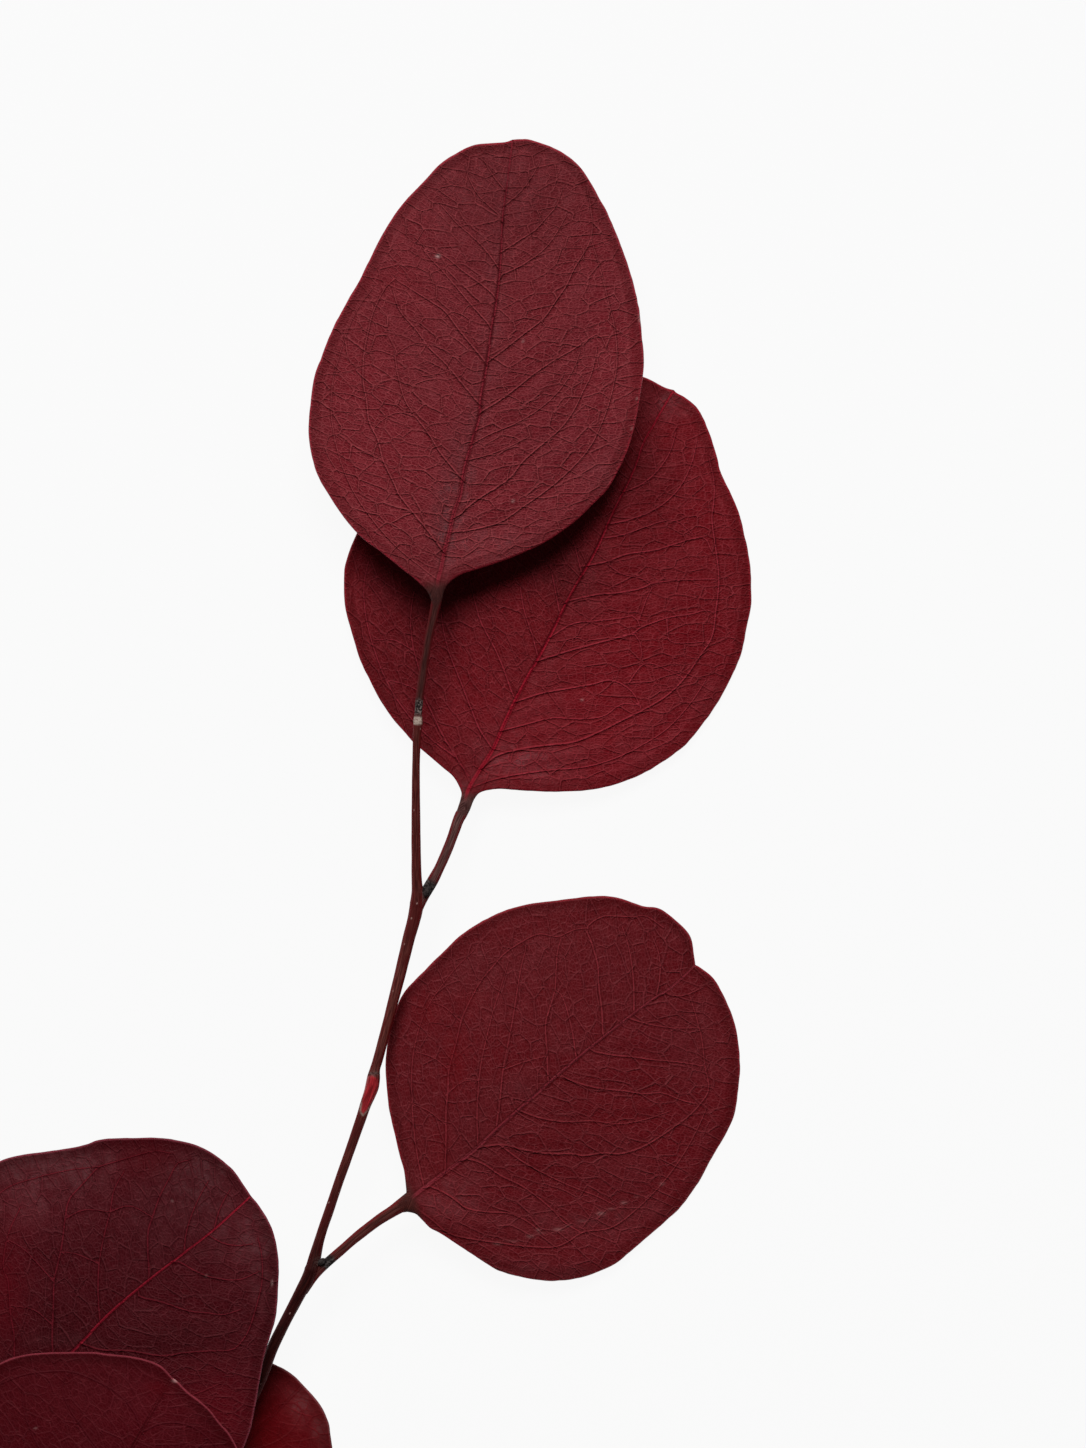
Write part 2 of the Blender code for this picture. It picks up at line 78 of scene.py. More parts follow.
LEAVES = {}
LEAVES["leaf_1"] = dict(
    left=[(431, 600), (427, 591), (416, 580), (402, 569), (381, 552), (360, 536), (340, 512), (320, 480),
          (313, 461), (309, 440), (308.5, 425), (310, 407), (314, 377), (320.5, 359), (332, 330), (348, 300),
          (360, 279), (381, 237), (400, 207), (425, 180), (440, 164), (456, 153.5), (473, 145), (491, 143),
          (505, 142), (512.5, 139.5)],
    right=[(442.5, 598), (445, 589), (451, 581), (462, 574), (481, 568), (500.5, 561.5), (520, 554), (542, 544),
           (561, 532), (579, 518), (593, 504), (609, 487), (622, 463), (631, 440), (637.5, 413), (643, 377),
           (644, 361), (642.5, 340), (638, 303), (627, 262), (610.5, 220), (600, 199), (581, 168), (560, 151),
           (532, 140), (521, 139), (512.5, 139.5)],
    midrib=[(437, 597), (438, 579), (440, 573), (445, 549), (449, 534), (454, 512), (460, 496), (464, 471),
            (472, 442), (479, 417), (481, 397), (487, 362), (491.5, 330), (497, 295), (500.5, 257), (503, 216),
            (507, 184), (511, 152), (512.5, 139.5)],
    stalk=[(418, 716, 9.0, 0.50), (419.5, 698, 9.1, 0.58), (421, 687, 9.3, 0.60), (424.5, 662, 9.7, 0.58),
           (429, 636, 10.2, 0.58), (434, 613, 10.6, 0.66), (436.6, 601, 10.8, 0.80)],
    lay=[(437, 597, 10.9), (350, 520, 10.6), (311, 430, 10.2), (330, 330, 10.8), (375, 250, 11.2), (440, 165, 11.0),
         (512, 140, 10.8), (580, 168, 10.6), (625, 260, 10.2), (643, 360, 9.6), (622, 463, 9.2), (561, 532, 9.6),
         (500, 561, 10.2), (470, 440, 12.2), (490, 330, 12.8), (503, 230, 12.4), (400, 400, 12.0), (560, 400, 11.6)],
    veins=[
        (1.5, 1.0, [(444, 552), (425, 527), (400, 496), (395, 485), (383, 460), (378, 440), (369, 421), (366.5, 400),
                    (363, 380), (364, 353), (368, 332), (373.5, 311), (385, 288), (395, 279)]),
        (1.5, 0.9, [(464, 480), (458, 474), (440, 452), (429, 434), (416, 417), (405, 400), (398, 375), (395, 356)]),
        (1.6, 0.9, [(481, 405), (478, 402), (462, 383), (446, 364), (429, 347), (415, 328), (400, 311), (393, 290)]),
        (1.6, 0.9, [(487, 364), (485, 361), (470, 343), (457, 327), (445, 311), (432, 302), (421, 295), (400, 282),
                    (393, 278)]),
        (1.5, 0.8, [(491, 328), (489, 324), (470, 303), (454, 284), (440, 268), (432, 260), (424, 250)]),
        (1.4, 0.8, [(497, 300), (493, 294), (480, 283), (462, 270), (444, 255.5), (429, 251), (416, 238)]),
        (1.4, 0.8, [(500, 270), (497, 265), (485, 249), (472, 236), (459, 225), (450, 215), (441, 205)]),
        (1.3, 0.8, [(503, 222), (503, 218), (480, 197), (470, 180), (466, 168)]),
        (1.2, 0.7, [(505, 190), (492, 174), (484, 160)]),
        (1.6, 0.9, [(454, 518), (459, 515), (475, 501), (500, 485), (512, 475.5), (524, 460), (545, 442), (561, 428),
                    (574, 410), (583, 391), (591, 375), (597, 350)]),
        (1.6, 0.9, [(479, 414), (480, 412), (500, 400), (520, 385), (535, 373), (556, 359), (572, 350), (591, 337),
                    (600, 335), (607, 349)]),
        (1.5, 0.9, [(487, 362), (507, 347), (526, 332), (543, 319), (555, 302), (566, 286), (575, 267), (591, 238),
                    (591, 209), (587, 190)]),
        (1.4, 0.8, [(499, 280), (501, 275), (520, 266), (542, 251), (555, 235), (566, 216)]),
        (1.4, 0.8, [(501, 252), (521, 239), (535, 230), (545, 219), (556, 206), (562, 190)]),
        (1.3, 0.8, [(505, 205), (520, 192), (532, 176), (540, 162)]),
        (1.3, 0.8, [(450, 532), (470, 530), (500, 522), (524, 506), (548, 489), (570, 470), (590, 447), (603, 420),
                    (612, 392), (617, 362), (615, 330), (608, 300), (600, 268), (591, 238)]),
        (1.1, 0.8, [(470, 445), (490, 434), (512, 425), (535, 412), (556, 394), (572, 372), (580, 352)]),
        (1.1, 0.8, [(466, 460), (488, 455), (508, 447), (528, 437)]),
        (1.0, 0.7, [(438, 580), (420, 566), (398, 548), (376, 524), (356, 496), (343, 468), (335, 440), (331, 410),
                    (333, 380), (341, 350), (351, 322), (362, 302), (373, 288)]),
        (1.0, 0.7, [(366, 400), (350, 394), (334, 392)]),
        (1.0, 0.7, [(383, 460), (362, 452), (340, 452)]),
        (1.0, 0.7, [(416, 417), (398, 412), (382, 420), (374, 428)]),
        (1.0, 0.7, [(395, 356), (378, 350), (364, 353)]),
        (1.0, 0.7, [(395, 356), (406, 347), (420, 342), (429, 347)]),
        (1.0, 0.7, [(424, 376), (446, 372), (450, 370)]),
    ])
LEAVES["leaf_2"] = dict(
    left=[(457, 810), (460.5, 799), (461, 791), (453.5, 777), (442, 767), (428, 755), (412.5, 741.5), (404.5, 732),
          (391.5, 717), (379.5, 699), (369.5, 679.5), (361, 662), (352, 634), (345.2, 607), (343.8, 578), (346, 561),
          (357, 533), (372, 507), (400, 474), (435, 443), (480, 413), (530, 391), (580, 378), (620, 373),
          (644, 377), (664, 387), (674, 390)],
    right=[(470, 810), (474.5, 799), (481.5, 792), (498, 789), (515, 790), (540, 791.5), (563, 791.8), (602, 788),
           (640.5, 774.8), (677.5, 751.5), (695, 734), (720, 699), (740, 658), (746, 631), (750.5, 611), (751.5, 594),
           (750, 564), (744, 533), (737, 507), (721.5, 474), (717, 457), (712, 440), (705, 422), (698, 409),
           (686, 398), (677, 393), (674, 390)],
    midrib=[(463.5, 810), (468, 790), (481.5, 767), (493, 749), (504, 724), (515, 701), (526, 680), (549, 638),
            (571, 594), (594, 554), (613, 513), (632, 474), (644, 442), (653, 426), (662.5, 409), (674, 390)],
    stalk=[(409.5, 934, 6.95, 0.60), (413.8, 919, 7.0, 0.76), (419.6, 904, 7.0, 0.80), (426, 892, 6.95, 0.80),
           (432.5, 881, 6.85, 0.78), (438.3, 870, 6.7, 0.72), (443, 860, 6.4, 0.71), (449.3, 845, 6.0, 0.71),
           (454.8, 830, 5.5, 0.76), (458.5, 819.5, 5.0, 0.82), (463, 811, 4.6, 0.92)],
    lay=[(463.5, 810, 4.5), (406, 732, 3.2), (353, 634, 2.0), (346, 561, 1.6), (400, 474, 1.8), (480, 413, 1.4),
         (580, 378, 0.9), (674, 390, 0.35), (721, 474, 0.25), (750, 580, 0.12), (720, 699, 0.6), (639, 774, 1.9),
         (540, 791, 3.4), (515, 701, 3.7), (571, 594, 3.6), (632, 474, 2.4), (470, 600, 3.4), (650, 640, 2.8)],
    veins=[
        (1.7, 1.0, [(482, 768), (496, 756), (521, 749), (549, 745), (574, 742), (599, 732), (625, 719), (647, 708),
                    (667, 695.5), (684, 679), (700, 656), (712, 637), (716, 610), (719, 580), (716, 550), (712, 520),
                    (714, 500), (714, 482), (709, 457)]),
        (1.6, 0.9, [(514, 702), (521, 700), (543, 693), (568.5, 688.5), (594, 684), (608, 680), (622, 684), (634, 694),
                    (641, 708)]),
        (1.7, 0.9, [(537, 661), (543, 659), (568.5, 651), (594, 644), (613, 639), (632, 634), (640, 628), (667, 618),
                    (692, 614), (705, 610), (713, 612)]),
        (1.6, 0.9, [(564, 603), (566, 601.5), (597, 594.5), (616, 593), (639, 589), (655.5, 583), (681, 580),
                    (715, 579)]),
        (1.6, 0.9, [(584, 566), (605, 562), (627.5, 554), (655.5, 550), (678, 543), (703, 537), (712, 552)]),
        (1.4, 0.8, [(608, 524), (628, 520), (650, 512), (668, 500), (682, 484), (692, 462), (697, 440)]),
        (1.3, 0.8, [(604, 538), (622, 535), (645, 527), (668, 520), (682, 524), (692, 534)]),
        (1.3, 0.8, [(623, 492), (642, 484), (658, 470), (670, 452), (676, 432)]),
        (1.4, 0.8, [(549, 638), (572, 624), (596, 621), (622, 618), (634, 616), (640, 626)]),
        (1.4, 0.8, [(500, 731), (524, 725), (552, 718), (580, 719), (604, 716), (622, 704), (641, 706)]),
        (1.3, 0.8, [(470, 788), (492, 780), (520, 774), (552, 770), (585, 767), (616, 758), (644, 744), (668, 728),
                    (690, 704), (706, 680)]),
        (1.2, 0.7, [(612, 639), (632, 634), (640, 642), (642, 657)]),
        (1.1, 0.7, [(640, 618), (646, 600), (652, 588)]),
        (1.1, 0.7, [(609, 565), (622, 574), (640, 578), (655, 583)]),
        (1.1, 0.7, [(667, 618), (668, 634), (674, 643), (712, 641)]),
        (1.1, 0.7, [(628, 684), (642, 665), (654, 664), (672, 672), (684, 678)]),
        (1.4, 0.9, [(469, 776), (467.5, 774), (453.5, 753), (441, 732), (431, 711), (423, 693), (420, 673), (414, 651),
                    (411, 631), (411, 611), (414, 592)]),
        (1.4, 0.9, [(514, 697), (512, 693), (504, 670), (496, 651), (487, 634), (480, 620), (474.5, 600), (470, 580)]),
        (1.4, 0.8, [(492, 748), (480, 730), (470, 706), (460, 680), (450, 655), (443, 628), (440, 600)]),
        (1.3, 0.8, [(538, 657), (532, 634), (524, 610), (520, 586)]),
        (1.3, 0.8, [(560, 614), (556, 594), (552, 574)]),
        (1.3, 0.8, [(582, 575), (578, 558), (573, 540)]),
        (1.2, 0.8, [(455, 757), (430, 738), (406, 712), (388, 684), (375, 652), (366, 618), (364, 585), (370, 555)]),
        (1.0, 0.7, [(423, 693), (404, 684), (386, 680)]),
        (1.0, 0.7, [(414, 651), (394, 640), (374, 640)]),
    ])
LEAVES["leaf_3"] = dict(
    left=[(406.5, 1192.5), (404, 1171), (400, 1157), (396, 1140), (391.5, 1121), (388, 1102), (385.5, 1065), (389, 1033),
          (394, 1015), (399.5, 1000.5), (407.5, 988), (425, 970), (441, 954), (461, 935), (481, 922), (501, 912),
          (528, 904), (560, 900), (584, 897), (602, 896), (619, 898), (643, 906), (660.5, 909), (681, 925),
          (691, 938), (694, 955), (695.5, 965)],
    right=[(407.5, 1212), (415.5, 1214), (422, 1220), (430, 1228), (441, 1234), (470, 1253), (493, 1268), (505, 1273),
           (520, 1277), (536, 1280), (555, 1281), (580, 1278), (611, 1266.3), (631, 1251), (655, 1230.5), (679.3, 1208.5),
           (695.5, 1187), (707.5, 1166), (721, 1142.5), (734, 1116), (739, 1084), (740, 1065), (736.5, 1030),
           (726, 1000.5), (714, 979), (701, 968), (695.5, 965)],
    midrib=[(405, 1203), (424, 1188), (440, 1176), (458, 1163), (477, 1148), (496, 1130), (533, 1097), (574, 1061),
            (611, 1031), (649, 1002), (666, 991), (681, 979), (695.5, 965)],
    stalk=[(303.5, 1292, 8.0, 0.60), (310.3, 1281, 8.0, 0.68), (317, 1272.5, 7.95, 0.70), (324.5, 1265, 7.85, 0.69),
           (332.4, 1258, 7.7, 0.68), (341.7, 1250, 7.55, 0.66), (353, 1240, 7.25, 0.68), (362, 1232.7, 7.0, 0.71),
           (370.7, 1226, 6.8, 0.74), (381, 1218.5, 6.5, 0.78), (393, 1211, 6.2, 0.84), (402, 1205, 6.0, 1.00)],
    lay=[(404, 1203, 5.9), (390, 1110, 5.0), (387, 1050, 4.6), (410, 985, 4.4), (461, 935, 4.0), (560, 900, 3.2),
         (643, 906, 2.1), (694, 955, 1.1), (736, 1030, 0.15), (734, 1116, 0.02), (678, 1208, 0.4), (611, 1265, 1.5),
         (536, 1280, 3.0), (470, 1253, 4.4), (496, 1130, 5.4), (574, 1061, 4.9), (640, 1010, 3.2), (500, 1020, 5.2),
         (610, 1150, 3.6)],
    veins=[
        (1.6, 0.9, [(478, 1148), (488, 1146), (504, 1145), (520, 1149), (541, 1153), (557.5, 1154), (573.5, 1154),
                    (584, 1156), (603, 1153), (620.5, 1154), (640.5, 1148), (657, 1139), (673, 1128), (689, 1116),
                    (702, 1102), (709, 1088), (705, 1066), (702, 1040), (696, 1016), (690, 996)]),
        (1.5, 0.9, [(590, 1049), (592, 1051), (611, 1055), (632.5, 1057), (654, 1060), (678, 1062), (702, 1066)]),
        (1.6, 0.9, [(558, 1076), (565.5, 1078), (584, 1085), (603, 1089), (624.5, 1091), (643, 1094), (662, 1093),
                    (681, 1100), (697, 1104)]),
        (1.4, 0.8, [(652, 1000), (664, 993), (673, 996), (686, 995), (702, 988)]),
        (1.3, 0.8, [(628, 1018), (648, 1024), (672, 1028), (698, 1028)]),
        (1.4, 0.8, [(518, 1110), (540, 1118), (566, 1122), (592, 1121), (618, 1124), (644, 1120), (668, 1112)]),
        (1.5, 0.9, [(460, 1161), (469, 1159), (485, 1165), (501, 1176), (520, 1185), (536, 1196), (552, 1209.5),
                    (565, 1223), (580, 1232)]),
        (1.3, 0.8, [(500, 1145), (520, 1160), (545, 1174), (570, 1186), (596, 1196), (614, 1205)]),
        (1.5, 0.9, [(424, 1188), (432, 1187), (450, 1196), (466, 1208), (485, 1212), (509, 1213.5), (528, 1222),
                    (545, 1236)]),
        (1.3, 0.8, [(410, 1203), (432, 1220), (450, 1234), (477, 1240), (499, 1243), (520, 1246), (552, 1247.5),
                    (568, 1242), (584, 1232), (611, 1228), (636, 1210), (660, 1186), (680, 1160), (695, 1134),
                    (706, 1110)]),
        (1.6, 0.9, [(444, 1174), (445, 1172), (446, 1137), (446, 1113), (448, 1089), (449, 1070), (456, 1043),
                    (461, 1022), (466, 1009), (473, 995), (482.5, 979), (496, 963), (504, 954), (520, 943), (539, 934),
                    (557.5, 937), (573.5, 930), (587, 928)]),
        (1.6, 0.9, [(549, 1084), (548, 1077), (547, 1051), (545.5, 1025), (549.5, 1009), (555, 990), (556, 974),
                    (557.5, 952), (561, 939)]),
        (1.3, 0.8, [(577, 1060), (576, 1057), (572, 1030), (563, 998), (555, 990)]),
        (1.5, 0.9, [(604, 1037), (603, 1035), (602, 1011), (599, 987), (598, 966), (592, 944), (587, 928),
                    (600, 917.5), (611, 916), (632.5, 917), (646, 916), (664, 928)]),
        (1.5, 0.9, [(496, 1130), (500, 1100), (503, 1070), (508, 1044), (513, 1018), (517, 992), (521, 968),
                    (526, 948)]),
        (1.3, 0.8, [(478, 1146), (477, 1118), (478, 1092), (481, 1064), (487, 1036), (494, 1008), (502, 984),
                    (508, 964)]),
        (1.4, 0.8, [(634, 1013), (634, 990), (632, 966), (628, 944), (622, 926)]),
        (1.3, 0.8, [(656, 998), (660, 976), (659, 954), (652, 936)]),
        (1.2, 0.7, [(424, 1187), (418, 1160), (414, 1132), (412, 1100), (412, 1066), (417, 1036), (426, 1010),
                    (440, 988), (456, 968), (474, 950)]),
        (1.0, 0.7, [(446, 1125), (430, 1112), (413, 1104)]),
        (1.0, 0.7, [(449, 1070), (434, 1058), (416, 1052)]),
        (1.0, 0.7, [(461, 1022), (446, 1008), (432, 1002)]),
        (1.0, 0.7, [(446, 1095), (462, 1082), (479, 1080)]),
        (1.0, 0.7, [(503, 1070), (524, 1062), (547, 1056)]),
    ])
LEAVES["leaf_4"] = dict(
    left=[(-55, 1488), (-70, 1470), (-86, 1436), (-98, 1390), (-103, 1340), (-98, 1290), (-82, 1243), (-50, 1203),
          (-22, 1176), (0, 1161), (21, 1155), (44, 1152), (80, 1146), (101, 1139.5), (131, 1138), (161, 1138),
          (193, 1144), (213.5, 1154), (232, 1169), (243, 1184), (251, 1196)],
    right=[(-44, 1497), (-32, 1505), (-12, 1515), (19, 1530), (45, 1540), (75, 1546), (112, 1545), (149, 1535),
           (180, 1519), (210, 1496), (231, 1472), (248, 1437), (255, 1407), (261, 1374), (266, 1350), (275, 1320),
           (278, 1290), (278.5, 1260), (273, 1231), (260.5, 1208), (251, 1196)],
    midrib=[(-50, 1494), (-36, 1471), (-15, 1440), (12, 1410), (42, 1380), (75, 1349), (110, 1313), (149, 1280),
            (184, 1253), (213.5, 1230), (238, 1208), (251, 1196)],
    stalk=[(-3, 1668, 5.4, 0.60), (-12, 1655, 5.9, 0.72), (-20, 1641, 6.3, 0.72), (-28, 1625, 6.6, 0.70), (-41, 1585, 7.2, 0.66),
           (-50, 1545, 7.8, 0.66), (-52, 1515, 8.3, 0.72), (-50.5, 1499, 8.6, 0.86)],
    lay=[(-50, 1494, 8.7), (-98, 1400, 9.6), (-90, 1270, 10.0), (0, 1161, 10.4), (131, 1138, 10.2), (213, 1153, 9.8),
         (251, 1196, 10.0), (278, 1280, 10.8), (266, 1350, 11.2), (231, 1472, 11.4), (149, 1535, 11.0),
         (45, 1540, 10.0), (20, 1400, 10.8), (110, 1313, 12.3), (190, 1248, 11.4), (60, 1230, 11.6), (190, 1400, 12.2)],
    veins=[
        (1.5, 0.9, [(54, 1369), (52, 1340), (53, 1315), (54, 1281), (57, 1267), (62, 1244), (65, 1219), (69, 1200),
                    (80, 1187), (92, 1174), (99, 1167), (115, 1162), (135, 1156), (156, 1151), (172, 1154)]),
        (1.4, 0.8, [(16, 1404), (14, 1370), (14, 1338), (10, 1311), (8, 1281), (3, 1267), (8, 1235), (20, 1208)]),
        (1.5, 0.9, [(148, 1281), (149, 1271), (148, 1255), (148, 1232), (153, 1216), (160, 1196), (170, 1177),
                    (177, 1164), (190, 1160)]),
        (1.4, 0.8, [(100, 1322), (98, 1294), (99, 1264), (104, 1236), (110, 1212), (114, 1190), (124, 1172)]),
        (1.3, 0.8, [(184, 1253), (186, 1234), (192, 1214), (200, 1196), (208, 1182)]),
        (1.2, 0.8, [(214, 1230), (218, 1214), (224, 1200), (230, 1190)]),
        (1.5, 0.9, [(138, 1290), (140, 1297), (161, 1302), (188, 1311), (207, 1313), (223, 1315), (240, 1310)]),
        (1.4, 0.9, [(172, 1262), (179, 1262), (195, 1271), (213, 1278), (230, 1280), (243, 1279), (258, 1272)]),
        (1.5, 0.9, [(80, 1343), (101, 1350), (129, 1351), (161, 1356), (184, 1353), (211, 1351), (232, 1350),
                    (243, 1340), (250, 1327), (257, 1304), (262, 1282), (262, 1258), (258, 1238)]),
        (1.4, 0.8, [(40, 1382), (66, 1392), (96, 1400), (126, 1404), (158, 1402), (190, 1396), (220, 1384)]),
        (1.4, 0.8, [(4, 1420), (34, 1436), (66, 1446), (100, 1452), (134, 1450), (166, 1440), (196, 1426)]),
        (1.3, 0.8, [(208, 1235), (222, 1243), (238, 1246), (252, 1244)]),
        (1.2, 0.8, [(-10, 1434), (-20, 1400), (-24, 1362), (-26, 1322), (-22, 1284), (-12, 1254)]),
        (1.2, 0.7, [(-30, 1462), (-50, 1430), (-62, 1392), (-68, 1352), (-64, 1306), (-50, 1262), (-28, 1222),
                    (4, 1190), (36, 1178), (70, 1170), (99, 1167)]),
        (1.1, 0.7, [(53, 1281), (36, 1262), (22, 1248), (8, 1240)]),
        (1.1, 0.7, [(52, 1325), (34, 1310), (12, 1306)]),
        (1.1, 0.7, [(65, 1219), (84, 1210), (110, 1212)]),
        (1.1, 0.7, [(99, 1264), (76, 1254), (60, 1252)]),
        (1.1, 0.7, [(110, 1212), (130, 1206), (152, 1217)]),
    ])
LEAVES["leaf_5"] = dict(
    left=[(-38, 1724), (-55, 1704), (-79, 1672), (-101, 1624), (-117, 1557), (-113, 1490), (-89, 1434), (-47, 1390),
          (0, 1363), (23, 1355), (44, 1352.6), (69, 1352), (92, 1352), (108, 1354), (129, 1356), (147, 1360),
          (161, 1366), (172, 1377)],
    right=[(-27, 1731), (-5, 1738), (39, 1742), (92, 1737), (159, 1716), (215, 1680), (252, 1633), (268, 1577),
           (267, 1521), (255, 1478), (243, 1458), (230, 1434.5), (220, 1423), (211, 1411), (200, 1401), (188, 1392),
           (179, 1383), (172, 1377)],
    midrib=[(-33, 1728), (-17, 1702), (20, 1640), (58, 1575), (96, 1510), (132, 1448), (156, 1405), (172, 1377)],
    stalk=[(-224, 1802, 2.5, 0.60), (-212, 1789, 3.4, 0.72), (-200, 1779, 4.4, 0.72), (-180, 1773, 5.4, 0.72), (-140, 1764, 7.2, 0.70),
           (-95, 1754, 8.8, 0.70), (-55, 1741, 10.0, 0.74), (-37, 1731, 10.6, 0.86)],
    lay=[(-33, 1728, 10.8), (-101, 1624, 12.2), (-113, 1490, 12.8), (0, 1363, 13.8), (92, 1352, 14.2), (172, 1377, 14.4),
         (220, 1423, 14.0), (267, 1521, 12.6), (252, 1633, 11.4), (159, 1716, 10.6), (39, 1742, 10.4), (20, 1640, 13.2),
         (96, 1510, 15.2), (140, 1435, 15.0), (0, 1500, 14.6), (190, 1570, 14.0)],
    veins=[
        (1.5, 0.9, [(118, 1472), (100, 1452), (84, 1430), (70, 1410), (62, 1390), (66, 1374)]),
        (1.5, 0.9, [(96, 1510), (72, 1488), (50, 1464), (34, 1438), (24, 1410), (22, 1388)]),
        (1.5, 0.9, [(70, 1554), (42, 1530), (16, 1502), (-4, 1472), (-16, 1440), (-14, 1412)]),
        (1.5, 0.9, [(46, 1596), (14, 1572), (-16, 1544), (-38, 1512), (-50, 1476), (-48, 1442)]),
        (1.4, 0.9, [(18, 1644), (-14, 1624), (-44, 1596), (-66, 1562), (-78, 1524), (-76, 1484)]),
        (1.5, 0.9, [(118, 1472), (140, 1468), (164, 1462), (188, 1454), (206, 1442)]),
        (1.5, 0.9, [(96, 1510), (124, 1508), (156, 1504), (188, 1496), (216, 1484)]),
        (1.5, 0.9, [(70, 1554), (104, 1554), (140, 1552), (178, 1546), (214, 1534), (238, 1518)]),
        (1.5, 0.9, [(46, 1596), (84, 1600), (124, 1600), (166, 1594), (204, 1582), (236, 1562)]),
        (1.4, 0.9, [(18, 1644), (56, 1652), (98, 1654), (140, 1648), (180, 1636), (214, 1618)]),
        (1.2, 0.8, [(142, 1432), (134, 1412), (118, 1394), (98, 1382), (72, 1372), (46, 1372), (20, 1376), (-14, 1392),
                    (-50, 1420), (-80, 1460), (-94, 1510), (-94, 1560), (-80, 1610), (-56, 1656), (-36, 1690)]),
        (1.2, 0.8, [(142, 1432), (160, 1424), (184, 1424), (206, 1436), (226, 1462), (242, 1500), (246, 1550),
                    (236, 1600), (208, 1648), (166, 1684), (110, 1708), (54, 1716), (0, 1712)]),
    ])
LEAVES["leaf_6"] = dict(
    left=[(30, 1653), (22, 1628), (14, 1578), (15, 1508), (38, 1446), (77, 1401), (130, 1369), (186, 1355),
          (236, 1356), (262, 1360), (280, 1367), (294, 1376), (303, 1385)],
    right=[(39, 1661), (62, 1668), (113, 1677), (182, 1675), (245, 1652), (290, 1612), (321, 1559), (335, 1502),
           (333, 1455), (330, 1432), (328, 1421), (322, 1408), (314, 1397), (303, 1385)],
    midrib=[(34, 1657), (62, 1627), (99, 1591), (141, 1549), (183, 1506), (226, 1464), (261, 1428), (303, 1385)],
    stalk=[(-122, 1748, 3.7, 0.60), (-106, 1752, 3.4, 0.70), (-90, 1752, 3.1, 0.70), (-70, 1746, 3.0, 0.70), (-40, 1731, 2.9, 0.70),
           (-8, 1706, 2.7, 0.70), (18, 1679, 2.5, 0.74), (31, 1662, 2.4, 0.86)],
    lay=[(34, 1657, 2.35), (16, 1560, 1.6), (60, 1418, 1.6), (186, 1355, 1.3), (262, 1360, 1.1), (303, 1385, 1.0),
         (333, 1455, 0.3), (321, 1559, 0.10), (245, 1652, 0.15), (113, 1677, 1.1), (141, 1549, 2.8), (226, 1464, 2.3),
         (110, 1480, 2.5), (220, 1570, 1.9)],
    veins=[
        (1.4, 0.9, [(240, 1450), (258, 1448), (276, 1442), (292, 1430), (302, 1414)]),
        (1.4, 0.9, [(206, 1484), (232, 1486), (258, 1484), (284, 1476), (306, 1462)]),
        (1.4, 0.9, [(170, 1520), (200, 1526), (232, 1528), (264, 1522), (294, 1510)]),
        (1.4, 0.9, [(134, 1556), (166, 1566), (200, 1570), (236, 1568), (270, 1556)]),
        (1.4, 0.9, [(96, 1594), (126, 1608), (160, 1616), (198, 1616), (234, 1606)]),
        (1.4, 0.9, [(206, 1484), (202, 1458), (196, 1432), (186, 1408), (172, 1388)]),
        (1.4, 0.9, [(170, 1520), (162, 1492), (152, 1464), (138, 1438), (120, 1416)]),
        (1.4, 0.9, [(134, 1556), (120, 1528), (106, 1500), (90, 1474), (72, 1452)]),
        (1.4, 0.9, [(96, 1594), (78, 1566), (62, 1538), (48, 1510)]),
        (1.1, 0.8, [(282, 1404), (296, 1404), (306, 1420), (312, 1450), (314, 1490), (306, 1540), (282, 1592),
                    (240, 1634), (184, 1656), (120, 1660), (66, 1652)]),
    ])

# (x, y, radius x, radius y, amount): soft patches, read off the leaf
DUST = {   # greyish bloom
    "leaf_1": [(560, 470, 80, 70, 0.08), (446, 530, 12, 46, 0.65), (460, 480, 14, 46, 0.50), (476, 410, 13, 46, 0.35),
               (488, 350, 12, 40, 0.25), (496, 280, 11, 60, 0.20), (490, 545, 50, 20, 0.35), (610, 490, 20, 30, 0.25)],
    "leaf_2": [(672, 402, 18, 16, 0.9), (468, 795, 16, 20, 0.7), (486, 762, 14, 24, 0.45), (505, 725, 12, 26, 0.35), (600, 744, 90, 36, 0.20), (522, 764, 40, 18, 0.75), (690, 700, 40, 30, 0.15), (540, 690, 30, 60, 0.20),
               (590, 580, 18, 50, 0.2)],
    "leaf_3": [(600, 1222, 110, 22, 0.40), (520, 1266, 50, 10, 0.4), (560, 1275, 60, 8, 0.4), (470, 1150, 40, 40, 0.2),
               (448, 1200, 40, 24, 0.55), (700, 1040, 30, 60, 0.2), (620, 1170, 60, 30, 0.2), (480, 960, 60, 30, 0.15),
               (520, 1090, 26, 14, 0.3), (570, 1046, 26, 14, 0.3)],
    "leaf_4": [(60, 1158, 70, 12, 0.8), (20, 1170, 50, 14, 0.5), (205, 1165, 36, 18, 0.6), (84, 1178, 26, 22, 0.5),
               (190, 1195, 40, 30, 0.45), (262, 1260, 16, 50, 0.6), (240, 1235, 36, 30, 0.5), (150, 1230, 50, 30, 0.15),
               (70, 1340, 40, 8, 0.5), (20, 1200, 40, 26, 0.6)],
    "leaf_5": [(60, 1358, 80, 5, 0.3), (100, 1400, 60, 30, 0.15), (205, 1412, 16, 12, 0.3)],
    "leaf_6": [(304, 1402, 16, 20, 1.0), (322, 1430, 10, 20, 0.8)],
}
